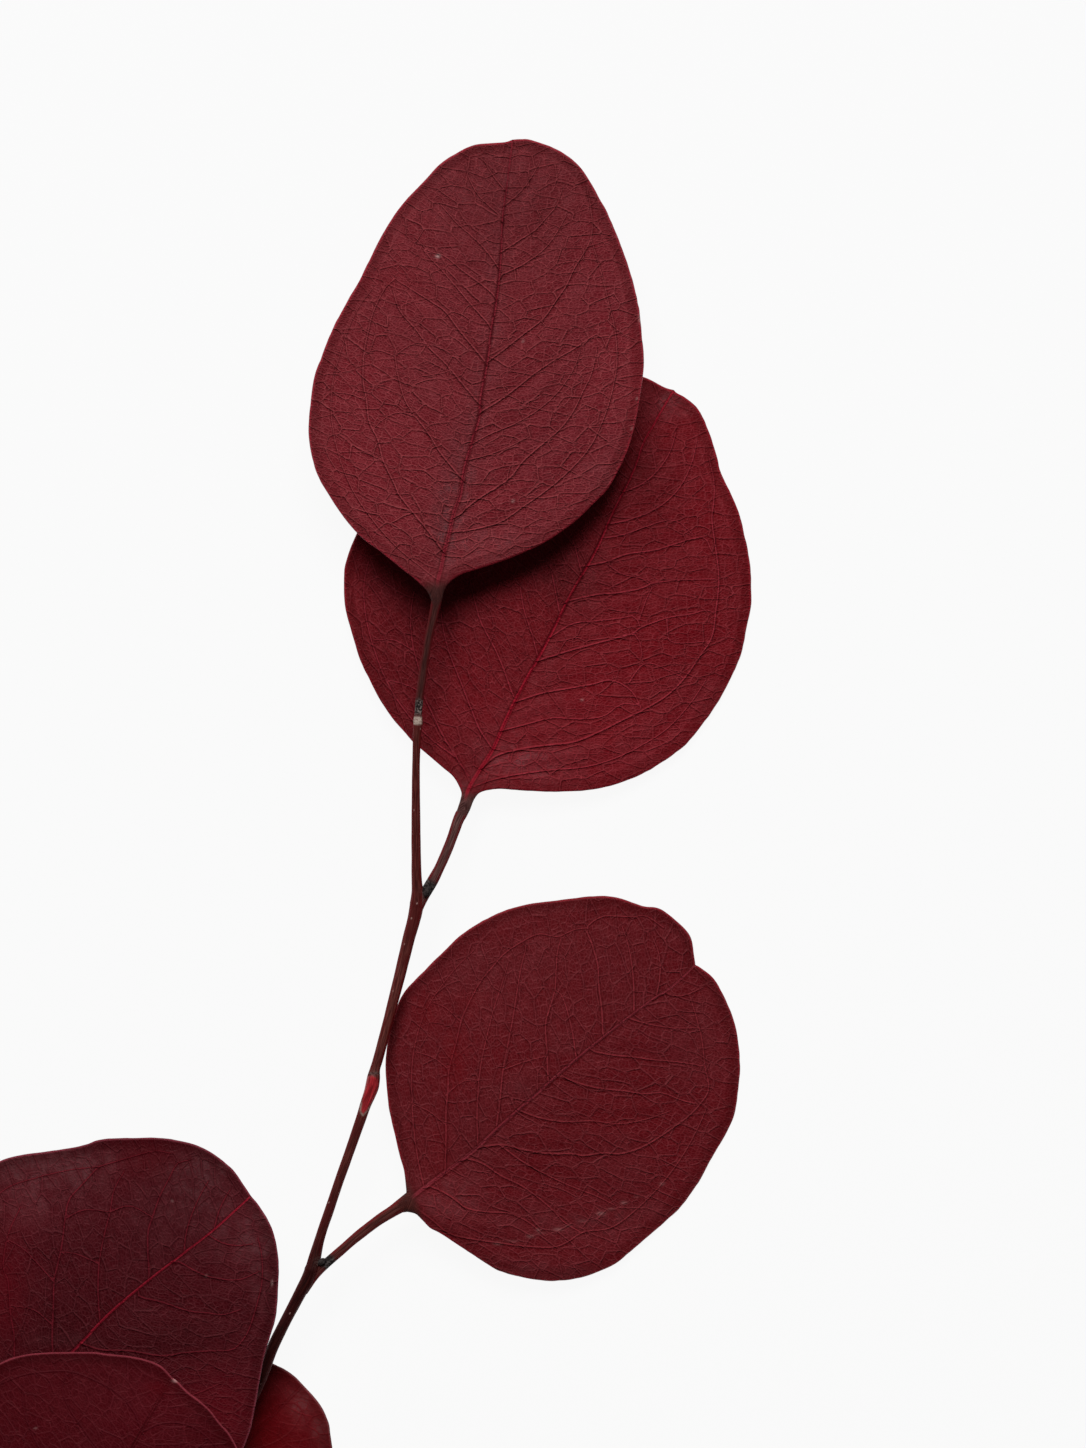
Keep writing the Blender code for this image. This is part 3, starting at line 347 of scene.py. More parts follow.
SHADE_AND_DARK = {   # darker patches: partly the leaf's own deeper colour, partly painted shade: the shadow of leaf_1 on leaf_2 and of leaf_5 on leaf_4, and margins turned away from the light
    "leaf_1": [(500, 240, 60, 60, 0.30), (480, 150, 60, 16, 0.30), (320, 440, 14, 60, 0.20)],
    "leaf_2": [(380, 660, 40, 80, 0.25), (420, 600, 60, 80, 0.2), (735, 560, 16, 70, 0.2), (560, 578, 34, 32, 0.35),
               (655, 480, 28, 46, 0.35), (605, 560, 36, 30, 0.15)],
    "leaf_3": [(560, 1085, 26, 12, 0.35), (600, 990, 60, 60, 0.15), (560, 905, 90, 10, 0.2), (420, 1110, 20, 60, 0.1)],
    "leaf_4": [(120, 1355, 60, 20, 0.25), (62, 1328, 46, 26, 0.45), (150, 1290, 40, 16, 0.15), (180, 1342, 46, 18, 0.40), (235, 1310, 24, 24, 0.25)],
    "leaf_5": [(200, 1440, 40, 30, 0.2)],
    "leaf_6": [(262, 1440, 10, 50, 0.3)],
}
STAIN = {  # brighter clean red
    "leaf_1": [(638, 390, 10, 60, 0.35), (395, 280, 30, 14, 0.3), (340, 470, 20, 40, 0.2)],
    "leaf_2": [(560, 730, 60, 30, 0.25), (480, 770, 30, 20, 0.25)],
    "leaf_3": [(455, 1060, 12, 26, 0.8), (430, 1015, 14, 18, 0.6), (470, 1000, 20, 10, 0.4), (440, 1150, 14, 30, 0.4),
               (398, 1190, 10, 14, 0.5), (610, 1120, 30, 14, 0.25)],
    "leaf_4": [(146, 1158, 34, 20, 0.8), (4, 1290, 24, 60, 0.8), (215, 1420, 46, 60, 0.7), (70, 1352, 40, 5, 0.3)],
    "leaf_5": [(157, 1388, 12, 8, 0.8), (40, 1400, 60, 40, 0.2)],
    "leaf_6": [(265, 1440, 24, 50, 1.0)],
}
LIGHT_AND_TONE = {   # lighter (+) or darker (-): partly the leaf's own tone, partly painted light and shade: the shadow of leaf_1 on leaf_2 and of leaf_5 on leaf_4, and blades lighter where they turn to the light, darker where they turn away
    "leaf_1": [(400, 500, 110, 90, 0.14), (560, 500, 90, 70, 0.10), (510, 190, 90, 60, -0.22), (350, 400, 60, 70, 0.08),
               (610, 380, 36, 70, 0.16), (485, 545, 40, 18, 0.15), (430, 560, 22, 24, -0.15)],
    "leaf_2": [(600, 740, 120, 50, 0.12), (400, 670, 60, 90, -0.20), (470, 610, 80, 60, -0.20), (680, 410, 40, 30, -0.05),
               (620, 680, 50, 46, 0.10), (560, 578, 34, 32, -0.30), (602, 566, 36, 34, -0.14), (655, 480, 28, 46, -0.22),
               (640, 534, 32, 32, -0.14), (520, 766, 36, 20, 0.14), (468, 762, 24, 34, -0.16)],
    "leaf_3": [(560, 1060, 80, 60, 0.05), (600, 1230, 110, 50, 0.20), (710, 1080, 30, 60, 0.10), (450, 1200, 36, 24, 0.32), (660, 1150, 50, 40, 0.15)],
    "leaf_4": [(5, 1290, 25, 60, 0.30), (120, 1250, 80, 60, -0.05), (30, 1340, 60, 40, -0.10), (215, 1420, 50, 50, 0.45),
               (245, 1230, 30, 50, 0.24), (20, 1205, 40, 30, 0.40), (90, 1190, 50, 30, 0.14), (60, 1165, 60, 14, 0.22),
               (180, 1342, 40, 18, -0.12)],
    "leaf_5": [(155, 1412, 60, 40, 0.25), (60, 1400, 60, 40, 0.06)],
    "leaf_6": [(302, 1404, 36, 26, 0.24), (262, 1440, 16, 40, 0.20)],
}
SPECK = {  # flecks of dust and scuffs
    "leaf_1": [(438, 256, 2.2, 1.5, 1.0), (513, 501, 1.4, 1.4, 0.6), (637, 399, 1.2, 1.2, 0.45), (632, 428, 1.2, 1.2, 0.4),
               (523, 341, 1.3, 1.3, 0.5), (640, 318, 1.6, 3.4, 0.6)],
    "leaf_2": [(466, 803, 4.5, 1.4, 0.45), (582, 700, 1.3, 1.3, 0.4)],
    "leaf_3": [(497, 1244, 4, 1.5, 0.16), (513, 1241, 6, 1.3, 0.10), (530, 1236.5, 3, 1.5, 0.22), (541, 1233, 4, 1.2, 0.10),
               (558, 1229.5, 4, 1.5, 0.20), (568, 1226, 3, 1.2, 0.10), (583, 1221, 4, 1.2, 0.08), (601, 1213.5, 4, 1.5, 0.24),
               (611, 1209, 3, 1.3, 0.14), (624, 1203, 3, 1.5, 0.22), (636, 1197, 3, 1.2, 0.08), (662, 1184, 2.5, 1.5, 0.18),
               (538, 1230, 1.3, 1.3, 0.35)],
    "leaf_4": [(272, 1283, 1.1, 2.4, 0.5), (172, 1201, 1.1, 1.3, 0.25), (206, 1276, 1.1, 1.3, 0.25)],
    "leaf_5": [(175.5, 1380.5, 2.6, 1.5, 0.9), (36, 1428, 1.1, 1.1, 0.3)],
    "leaf_6": [],
}

#            skin colour, vein colour, grey bloom colour, bloom amount, midrib colour, midrib strength, seed,
#            angle of the small veins from the midrib, strength of the line along the margin
LOOK = {
    "leaf_1": ((0.134, 0.0065, 0.0120), (0.250, 0.0400, 0.0470), (0.088, 0.0270, 0.0310), 0.05, (0.200, 0.0105, 0.0210), 0.8, 3, 76, 0.5),
    "leaf_2": ((0.134, 0.0016, 0.0052), (0.230, 0.0230, 0.0310), (0.128, 0.0270, 0.0320), 0.03, (0.290, 0.0060, 0.0190), 0.9, 11, 62, 0.5),
    "leaf_3": ((0.100, 0.0015, 0.0042), (0.172, 0.0210, 0.0270), (0.088, 0.0200, 0.0230), 0.05, (0.200, 0.0200, 0.0300), 0.85, 23, 62, 0.25),
    "leaf_4": ((0.053, 0.0010, 0.0036), (0.098, 0.0140, 0.0190), (0.074, 0.0200, 0.0230), 0.03, (0.250, 0.0080, 0.0210), 0.9, 37, 62, 0.3),
    "leaf_5": ((0.054, 0.0008, 0.0030), (0.090, 0.0080, 0.0125), (0.066, 0.0110, 0.0140), 0.03, (0.070, 0.0022, 0.0050), 0.25, 41, 66, 0.0),
    "leaf_6": ((0.096, 0.0012, 0.0032), (0.125, 0.0070, 0.0100), (0.110, 0.0230, 0.0250), 0.03, (0.105, 0.0060, 0.0095), 0.3, 53, 66, 0.0),
}
#            stalk: darker and lighter streak of its upper side, whose browner, greyer colour is partly a painted sheen
#            of the overhead light, colour of its flanks
STALK = {
    "leaf_1": ((0.022, 0.0050, 0.0048), (0.072, 0.0200, 0.0175), (0.095, 0.0040, 0.0055)),
    "leaf_2": ((0.032, 0.0090, 0.0085), (0.115, 0.0480, 0.0430), (0.125, 0.0050, 0.0075)),
    "leaf_3": ((0.028, 0.0050, 0.0045), (0.100, 0.0230, 0.0185), (0.130, 0.0050, 0.0065)),
    "leaf_4": ((0.020, 0.0045, 0.0045), (0.070, 0.0190, 0.0160), (0.085, 0.0040, 0.0055)),
    "leaf_5": ((0.020, 0.0045, 0.0045), (0.070, 0.0190, 0.0160), (0.085, 0.0040, 0.0055)),
    "leaf_6": ((0.020, 0.0045, 0.0045), (0.070, 0.0190, 0.0160), (0.085, 0.0040, 0.0055)),
}
# where a stalk is worn: distance from its start and reach, in drawing units
WORN = {"leaf_1": (8, 10), "leaf_2": (50, 9), "leaf_3": (39, 8), "leaf_4": (-90, 1), "leaf_5": (-90, 1), "leaf_6": (-90, 1)}
WORN_LIGHT = {k: (0.200, 0.150, 0.135) if k == "leaf_1" else (0.072, 0.060, 0.056) for k in WORN}
#            relief of the blade, relief of the small veins, gloss, vein colour, margin colour (the margin's own paler
#            colour and a painted highlight where the edge catches the light)
FINISH = {
    "leaf_1": (1.15, 1.50, 0.085, (0.255, 0.0380, 0.0460), (0.30, 0.0150, 0.0290)),
    "leaf_2": (0.95, 1.25, 0.065, (0.280, 0.0240, 0.0360), (0.26, 0.0080, 0.0180)),
    "leaf_3": (0.70, 1.00, 0.075, (0.205, 0.0210, 0.0280), (0.22, 0.0110, 0.0190)),
    "leaf_4": (0.48, 0.95, 0.050, (0.128, 0.0090, 0.0160), (0.170, 0.0260, 0.0400)),
    "leaf_5": (0.16, 0.55, 0.040, (0.066, 0.0040, 0.0075), (0.210, 0.0300, 0.0430)),
    "leaf_6": (0.20, 0.30, 0.050, (0.110, 0.0060, 0.0090), (0.150, 0.0420, 0.0460)),
}


# ---------------------------------------------------------------- geometry
def to_metres(px, py, zmm):
    z = np.asarray(zmm, float) * MM
    s = 1.0 - z / EYE
    return np.stack([(np.asarray(px, float) - AXIS_X) * UNIT * s,
                     (AXIS_Y - np.asarray(py, float)) * UNIT * s, z], axis=-1)


def smooth(points, stations):
    p = np.array(points, float)
    a = np.vstack([2 * p[0] - p[1], p, 2 * p[-1] - p[-2]])
    steps = np.linspace(0, 1, 10, endpoint=False)[:, None]
    parts = []
    for i in range(1, len(a) - 2):
        p0, p1, p2, p3 = a[i - 1], a[i], a[i + 1], a[i + 2]
        parts.append(0.5 * (2 * p1 + (p2 - p0) * steps + (2 * p0 - 5 * p1 + 4 * p2 - p3) * steps ** 2
                            + (3 * p1 - p0 - 3 * p2 + p3) * steps ** 3))
    dense = np.vstack(parts + [p[-1:]])
    run = np.r_[0, np.cumsum(np.linalg.norm(np.diff(dense[:, :2], axis=0), axis=1))]
    run /= run[-1]
    return np.column_stack([np.interp(stations, run, dense[:, k]) for k in range(p.shape[1])])


def height_field(rows):
    c = np.array(rows, float)
    xy, n = c[:, :2] / 100.0, len(c)

    def bend(a, b):
        r2 = ((a[:, None, :] - b[None, :, :]) ** 2).sum(-1)
        return 0.5 * r2 * np.log(r2 + 1e-12)

    m = np.zeros((n + 3, n + 3))
    m[:n, :n] = bend(xy, xy) + np.eye(n) * 0.02
    m[:n, n], m[:n, n + 1:] = 1.0, xy
    m[n:, :n] = m[:n, n:].T
    w = np.linalg.solve(m, np.r_[c[:, 2], 0, 0, 0])

    def at(px, py):
        q = np.column_stack([np.ravel(px), np.ravel(py)]) / 100.0
        h = bend(q, xy) @ w[:n] + w[n] + q @ w[n + 1:]
        return h.reshape(np.shape(px))
    return at


def sweep(path):
    t = np.gradient(path, axis=0)
    t /= np.linalg.norm(t, axis=1)[:, None]
    side = np.cross(t, np.array([0.0, 0.0, 1.0]))
    side /= np.linalg.norm(side, axis=1)[:, None]
    up = np.cross(side, t)
    return t, side, up


def noise2(x, y, seed, cell):
    """Smooth value noise from -1 to 1."""
    lattice = np.random.RandomState(seed).uniform(-1, 1, (64, 64))
    gx, gy = np.asarray(x) / cell + 400, np.asarray(y) / cell + 400
    ix, iy = np.floor(gx).astype(int), np.floor(gy).astype(int)
    fx, fy = gx - ix, gy - iy
    fx, fy = fx * fx * (3 - 2 * fx), fy * fy * (3 - 2 * fy)
    a, b = lattice[ix % 64, iy % 64], lattice[(ix + 1) % 64, iy % 64]
    c, d = lattice[ix % 64, (iy + 1) % 64], lattice[(ix + 1) % 64, (iy + 1) % 64]
    return (a * (1 - fx) + b * fx) * (1 - fy) + (c * (1 - fx) + d * fx) * fy


def to_lines(points, a, b, wa, wb):
    """Signed and unsigned distance to the nearest of the segments a-b, and its half width there."""
    n = len(points)
    signed, near, width = np.empty(n), np.empty(n), np.empty(n)
    d = b - a
    l2 = np.maximum((d ** 2).sum(1), 1e-9)
    for s in range(0, n, 6000):
        p = points[s:s + 6000]
        rx, ry = p[:, 0:1] - a[:, 0], p[:, 1:2] - a[:, 1]
        t = np.clip((rx * d[:, 0] + ry * d[:, 1]) / l2, 0, 1)
        dist = np.hypot(rx - t * d[:, 0], ry - t * d[:, 1])
        k = dist.argmin(1)
        r = np.arange(len(p))
        cross = d[k, 0] * ry[r, k] - d[k, 1] * rx[r, k]
        near[s:s + 6000] = dist[r, k]
        signed[s:s + 6000] = np.where(cross < 0, -1, 1) * dist[r, k]
        width[s:s + 6000] = wa[k] + (wb[k] - wa[k]) * t[r, k]
    return signed, near, width


def vein_segments(veins):
    a, b, wa, wb = [], [], [], []
    for w0, w1, pts in veins:
        p = np.array(pts, float)
        length = np.linalg.norm(np.diff(p, axis=0), axis=1).sum()
        st = np.linspace(0, 1, max(6, int(length / 6)))
        q = smooth(pts, st)
        w = w0 + (w1 - w0) * st
        a.append(q[:-1]), b.append(q[1:]), wa.append(w[:-1]), wb.append(w[1:])
    return np.vstack(a), np.vstack(b), np.concatenate(wa), np.concatenate(wb)


def regions(grid_shape, signed, near):
    """Labels the parts of a grid that the veins separate."""
    rows, cols = grid_shape
    s, u = signed.reshape(rows, cols), near.reshape(rows, cols)
    wall_v = (s[1:] * s[:-1] < 0) & (u[1:] < 3.0) & (u[:-1] < 3.0)
    wall_h = (s[:, 1:] * s[:, :-1] < 0) & (u[:, 1:] < 3.0) & (u[:, :-1] < 3.0)
    lab = np.arange(rows * cols).reshape(rows, cols)
    for k in range(900):
        before = lab.copy()
        for _ in range(4):
            m = np.minimum(lab[1:], lab[:-1])
            lab[1:] = np.where(wall_v, lab[1:], m)
            lab[:-1] = np.where(wall_v, lab[:-1], np.minimum(lab[:-1], m))
            m = np.minimum(lab[:, 1:], lab[:, :-1])
            lab[:, 1:] = np.where(wall_h, lab[:, 1:], m)
            lab[:, :-1] = np.where(wall_h, lab[:, :-1], np.minimum(lab[:, :-1], m))
        if (lab == before).all():
            break
    return lab.ravel()


def cell_net(q, label, seeds, seed_label, rng_seed, stretch):
    """Signed distance to the edges of cells round the seeds, each point seeing only the seeds in its own region.

    q and seeds are stretched; the distance comes back unstretched."""
    n = len(q)
    signed, near, strength = np.full(n, 60.0), np.full(n, 60.0), np.ones(n)
    table = np.random.RandomState(rng_seed).uniform(0.45, 1.0, 4096)
    for lab in np.unique(label):
        mine = np.nonzero(label == lab)[0]
        ids = np.nonzero(seed_label == lab)[0]
        if len(ids) < 2:
            continue
        s = seeds[ids]
        for k in range(0, len(mine), 4000):
            part = mine[k:k + 4000]
            p = q[part]
            d2 = (p[:, 0:1] - s[:, 0]) ** 2 + (p[:, 1:2] - s[:, 1]) ** 2
            first = d2.argmin(1)
            r = np.arange(len(p))
            best = d2[r, first]
            gap = np.sqrt((s[:, 0][None, :] - s[first, 0][:, None]) ** 2 + (s[:, 1][None, :] - s[first, 1][:, None]) ** 2)
            gap[r, first] = 1.0
            edge = (d2 - best[:, None]) / (2 * gap)
            edge[r, first] = 1e9
            second = edge.argmin(1)
            slant = (s[second] - s[first]) * stretch
            e = edge[r, second] * gap[r, second] / np.hypot(slant[:, 0], slant[:, 1])
            one, two = ids[first], ids[second]
            signed[part] = np.where(one < two, e, -e)
            near[part] = e
            strength[part] = table[(np.minimum(one, two) * 31 + np.maximum(one, two) * 17) % 4096]
    return signed, near, strength


def put(mesh, name, values):
    kind = "FLOAT_VECTOR" if np.ndim(values) == 2 else "FLOAT"
    at = mesh.attributes.new(name, kind, "POINT")
    at.data.foreach_set("vector" if kind == "FLOAT_VECTOR" else "value", np.ascontiguousarray(values, np.float32).ravel())


def mesh_from(name, verts, faces, uv=None):
    """Smooth mesh from float vertices and an integer array or list of arrays of faces."""
    mesh = bpy.data.meshes.new(name)
    groups = faces if isinstance(faces, list) else [faces]
    counts = [g.shape[1] for g in groups for _ in range(1)]
    loops = np.concatenate([g.ravel() for g in groups]).astype(np.int32)
    totals = np.concatenate([np.full(len(g), c, np.int32) for g, c in zip(groups, counts)])
    starts = np.r_[0, np.cumsum(totals)[:-1]].astype(np.int32)
    mesh.vertices.add(len(verts))
    mesh.vertices.foreach_set("co", np.ascontiguousarray(verts, np.float32).ravel())
    mesh.loops.add(len(loops))
    mesh.loops.foreach_set("vertex_index", loops)
    mesh.polygons.add(len(totals))
    mesh.polygons.foreach_set("loop_start", starts)
    mesh.polygons.foreach_set("loop_total", totals)
    mesh.polygons.foreach_set("use_smooth", np.ones(len(totals), bool))
    mesh.update(calc_edges=True)
    mesh.validate()
    if uv is not None:
        layer = mesh.uv_layers.new(name="OFBake")
        layer.data.foreach_set("uv", np.ascontiguousarray(uv, np.float32).ravel())
    ob = bpy.data.objects.new(name, mesh)
    bpy.context.scene.collection.objects.link(ob)
    return ob


def patches(rows, x, y):
    out = np.zeros(np.shape(x))
    for cx, cy, rx, ry, amount in rows:
        out += amount * np.exp(-((x - cx) / rx) ** 2 - ((y - cy) / ry) ** 2)
    return out


def inside(px, py, corners):
    """Signed distance to a polygon, positive inside."""
    c = np.array(corners, float)
    q = np.column_stack([np.ravel(px), np.ravel(py)])
    near = np.abs(q - c.mean(0)).max(1) < np.abs(c - c.mean(0)).max() + 12
    out = np.full(len(q), -12.0)
    k = q[near]
    if len(k):
        d = np.roll(c, -1, 0)
        one = np.ones(len(c))
        _, gap, _ = to_lines(k, c, d, one, one)
        turns = np.zeros(len(k))
        for (ax, ay), (bx, by) in zip(c, d):
            a = np.arctan2(ay - k[:, 1], ax - k[:, 0])
            b = np.arctan2(by - k[:, 1], bx - k[:, 0])
            turns += np.arctan2(np.sin(b - a), np.cos(b - a))
        out[near] = np.where(np.abs(turns) > 3, gap, -gap)
    return out.reshape(np.shape(px))


def make_leaf(name, rows, half_cols, low_cols, stalk_rows):
    d = LEAVES[name]
    seed = LOOK[name][6]
    lay = height_field(d["lay"])
    # ---- stations
    lin = np.linspace(0, 1, rows)
    ts = 0.80 * lin + 0.20 * (0.5 - 0.5 * np.cos(math.pi * lin))
    ts = ts * 0.9965
    x = np.linspace(0, 1, half_cols + 1)
    half = 1 - (1 - x) ** 1.22
    cols = np.r_[-half[::-1], half[1:]]
    rounds = -np.cos(np.linspace(0, math.pi, len(cols)))
    xl = np.linspace(0, 1, low_cols // 2 + 1)
    halfl = 1 - (1 - xl) ** 1.3
    low = np.r_[-halfl[::-1], halfl[1:]][1:-1]
    low_round = -np.cos(np.linspace(0, math.pi, len(low) + 2))[1:-1]
    left, right, mid = (smooth(d[k], ts) for k in ("left", "right", "midrib"))
    # a slightly irregular margin
    arc = ts * 620
    for edge, k in ((left, 1), (right, 2)):
        out = edge - mid
        out /= np.linalg.norm(out, axis=1)[:, None]
        wob = 0.22 * noise2(arc, arc * 0 + 7 * k, seed + k, 17) + 0.25 * noise2(arc, arc * 0 + 3 * k, seed + 9 + k, 6)
        edge += out * (wob * np.clip(ts / 0.08, 0, 1) * np.clip((1 - ts) / 0.05, 0, 1))[:, None]

    def fan(r_all):
        r = r_all[None, :, None]
        return np.where(r < 0, mid[:, None] - r * (left - mid)[:, None], mid[:, None] + r * (right - mid)[:, None])

    blend = np.clip(ts / 0.10, 0, 1)
    blend = (blend * blend * (3 - 2 * blend))[:, None]
    rt = (1 - blend) * rounds + blend * cols
    rb = (1 - blend) * low_round + blend * low

    def spread(rr):
        r = rr[:, :, None]
        return np.where(r < 0, mid[:, None] - r * (left - mid)[:, None], mid[:, None] + r * (right - mid)[:, None])

    pt, pb = spread(rt), spread(rb)
    flat_t, flat_b = pt.reshape(-1, 2), pb.reshape(-1, 2)
    # ---- distance fields
    a, b, wa, wb = vein_segments(d["veins"])
    outline = np.vstack([smooth(d["left"], np.linspace(0, 1, 160)), smooth(d["right"], np.linspace(0, 1, 160))[::-1]])
    one = np.ones(len(outline) - 1)
    rib = smooth(d["midrib"], np.linspace(0, 1, 90))

    def fields(p):
        vs, vu, vw = to_lines(p, a, b, wa, wb)
        _, rim, _ = to_lines(p, outline[:-1], outline[1:], one, one)
        ribs, ribu, ribt = to_lines(p, rib[:-1], rib[1:], np.linspace(0, 1, 89), np.linspace(0, 1, 90)[1:])
        return vs, vu, vw, rim, ribs, ribu, ribt

    vs, vu, vw, rim, ribs, ribu, ribt = fields(flat_t)
    lvs, lvu, lvw, lrim, lribs, lribu, lribt = fields(flat_b)
    true_edge = np.ones((rows, len(cols)), bool)
    true_edge[:, 1:-1] = False
    rim = np.where(true_edge.ravel(), 0.0, rim)
    # ---- regions between the veins and the net of smaller veins inside them
    walls_s = np.where(ribu < vu, ribs, vs)
    walls_u = np.minimum(ribu, vu)
    lab = regions((rows, len(cols)), walls_s, walls_u)
    axis = np.array(d["midrib"][-1], float) - np.array(d["midrib"][0], float)
    size = np.linalg.norm(axis)
    axis /= size
    rng = np.random.RandomState(seed)

    def leaf_space(p, side):
        """Coordinates along and across the run of the secondary veins, mirrored at the midrib."""
        q = p - np.array(d["midrib"][0], float)
        perp = np.array([-axis[1], axis[0]])
        u, v = q @ axis, q @ perp
        ang = math.radians(LOOK[name][7])
        along = np.abs(v) * math.sin(ang) + u * math.cos(ang)
        across = -np.abs(v) * math.cos(ang) + u * math.sin(ang)
        return along, across + side * 900

    side_t = np.where(ribs < 0, -1, 1)
    along, across = leaf_space(flat_t, side_t)
    warp = 4.5
    wx = along + warp * noise2(along, across, seed + 5, 30) + 0.5 * noise2(along, across, seed + 6, 8)
    wy = across + warp * noise2(along + 999, across, seed + 7, 34) + 0.5 * noise2(along, across + 77, seed + 8, 8)
    spacing = (30.0, 13.5)
    seeds = []
    for side in (-1, 1):
        m = side_t == side
        gx = np.arange(wx[m].min() - 30, wx[m].max() + 30, spacing[0])
        gy = np.arange(wy[m].min() - 30, wy[m].max() + 30, spacing[1])
        g = np.stack(np.meshgrid(gx, gy, indexing="ij"), -1)
        g[:, 1::2, 0] += spacing[0] * 0.5
        g += rng.uniform(-0.34, 0.34, g.shape) * np.array(spacing)
        seeds.append(g.reshape(-1, 2))
    seeds = np.vstack(seeds)
    # drop seeds that fall outside the blade, label the others
    wq = np.column_stack([wx, wy])
    keep, seed_label = [], []
    coarse = np.arange(0, len(wq), 7)
    for k in range(0, len(seeds), 200):
        s = seeds[k:k + 200]
        d2 = (s[:, 0:1] - wq[coarse, 0]) ** 2 + (s[:, 1:2] - wq[coarse, 1]) ** 2
        j = d2.argmin(1)
        ok = d2[np.arange(len(s)), j] < 64
        keep.append(s[ok])
        seed_label.append(lab[coarse[j[ok]]])
    seeds, seed_label = np.vstack(keep), np.concatenate(seed_label)
    stretch = np.array([1.0, 1.9])
    ns, nu, nw = cell_net(wq * stretch, lab, seeds * stretch, seed_label, seed + 60, stretch)
    # ---- heights
    z = lay(flat_t[:, 0], flat_t[:, 1])
    zl = lay(flat_b[:, 0], flat_b[:, 1])

    def buckle(p, edge_gap):
        w = 0.10 * noise2(p[:, 0], p[:, 1], seed + 20, 90) + 0.055 * noise2(p[:, 0], p[:, 1], seed + 21, 38)
        w += 0.10 * np.exp(-edge_gap / 16) * noise2(p[:, 0], p[:, 1], seed + 22, 30)
        return w * np.clip(edge_gap / 6 + 0.6, 0, 1)

    taper = 1 - 0.75 * ribt
    fade_t = np.repeat(blend, len(cols), 1).ravel()
    fade_b = np.repeat(blend, len(low), 1).ravel()
    quilt = 0.20 * (1 - np.exp(-(np.minimum(vu, ribu * 0.8) / 12) ** 2)) + 0.045 * (1 - np.exp(-(nu / 5.0) ** 2))
    relief = 0.060 * np.exp(-(vs / (1.0 + 0.6 * vw)) ** 2) * np.clip(vw, 0, 1.6) + 0.045 * np.exp(-(nu / 1.6) ** 2) * nw
    quilt, relief = quilt * FINISH[name][0], relief * FINISH[name][0]
    relief += min(1.0, FINISH[name][0] + 0.1) * taper * (0.055 * np.exp(-(ribs / 2.6) ** 2) - 0.10 * np.exp(-(ribs / 11) ** 2))
    sub_rim = rim - 13.0 - 3.0 * noise2(flat_t[:, 0], flat_t[:, 1], seed + 25, 45)
    relief += 0.030 * np.exp(-((rim - 2.2) / 1.8) ** 2) + 0.060 * np.exp(-(sub_rim / 1.7) ** 2) * LOOK[name][8]
    edge_round = np.sqrt(np.clip(1 - (1 - np.clip(rim / 2.3, 0, 1)) ** 2, 0, 1))
    z_mid_t = z + fade_t * buckle(flat_t, rim)
    z_mid_b = zl + fade_b * buckle(flat_b, lrim)
    st_h = d["stalk"][-1][3] * 0.85
    oval_t = st_h * np.sqrt(np.clip(1 - rt.ravel() ** 2, 0, 1))
    oval_b = st_h * np.sqrt(np.clip(1 - rb.ravel() ** 2, 0, 1))
    h_top = (1 - fade_t) * oval_t + fade_t * (BLADE * edge_round + (relief + quilt) * edge_round)
    low_rib = 0.42 * (1 - lribt) * np.exp(-(lribs / 6.0) ** 2)
    low_vein = 0.05 * np.exp(-(lvs / 2.4) ** 2)
    lr = np.sqrt(np.clip(1 - (1 - np.clip(lrim / 2.3, 0, 1)) ** 2, 0, 1))
    h_low = (1 - fade_b) * oval_b + fade_b * (BLADE * lr + low_rib + low_vein)
    top = to_metres(flat_t[:, 0], flat_t[:, 1], z_mid_t + h_top).reshape(rows, -1, 3)
    bot = to_metres(flat_b[:, 0], flat_b[:, 1], z_mid_b - h_low).reshape(rows, -1, 3)
    # ---- stalk
    st = smooth(d["stalk"], np.linspace(0, 1, stalk_rows + 1))[:-1]
    path = to_metres(st[:, 0], st[:, 1], st[:, 2])
    _, side, up = sweep(path)
    flat = 1 - 0.15 * np.linspace(0, 1, stalk_rows)
    wob = 1 + 0.035 * noise2(np.arange(stalk_rows) * 3.0, np.zeros(stalk_rows), seed + 31, 7)
    hw, hh = st[:, 3] * MM * wob, st[:, 3] * flat * MM * wob

    def ring(r, sign):
        c = np.sqrt(np.clip(1 - r ** 2, 0, 1))
        # a shallow channel runs along the upper side of the stalk
        dip = 1 - 0.16 * np.exp(-(r / 0.35) ** 2) if sign > 0 else 1.0
        return (path[:, None] + side[:, None] * hw[:, None, None] * r[None, :, None]
                + sign * up[:, None] * hh[:, None, None] * (c * dip)[None, :, None])

    s_top, s_bot = ring(rounds, 1), ring(low_round, -1)
    loops = np.concatenate([np.concatenate([s_top, s_bot[:, ::-1]], 1), np.concatenate([top, bot[:, ::-1]], 1)], 0)
    total, n = loops.shape[0], loops.shape[1]
    verts = loops.reshape(-1, 3)
    i, j = np.meshgrid(np.arange(total - 1), np.arange(n), indexing="ij")
    k = (j + 1) % n
    quads = np.stack([i * n + j, i * n + k, (i + 1) * n + k, (i + 1) * n + j], -1).reshape(-1, 4)
    ax, ay = d["midrib"][-1]
    tip_z = float(lay(np.array([ax]), np.array([ay]))[0])
    ends = np.array([loops[0].mean(0), to_metres(ax, ay, tip_z)])
    verts = np.vstack([verts, ends])
    c0, c1 = len(verts) - 2, len(verts) - 1
    jj = np.arange(n)
    kk = (jj + 1) % n
    caps = np.vstack([np.stack([np.full(n, c0), kk, jj], -1),
                      np.stack([np.full(n, c1), (total - 1) * n + jj, (total - 1) * n + kk], -1)])
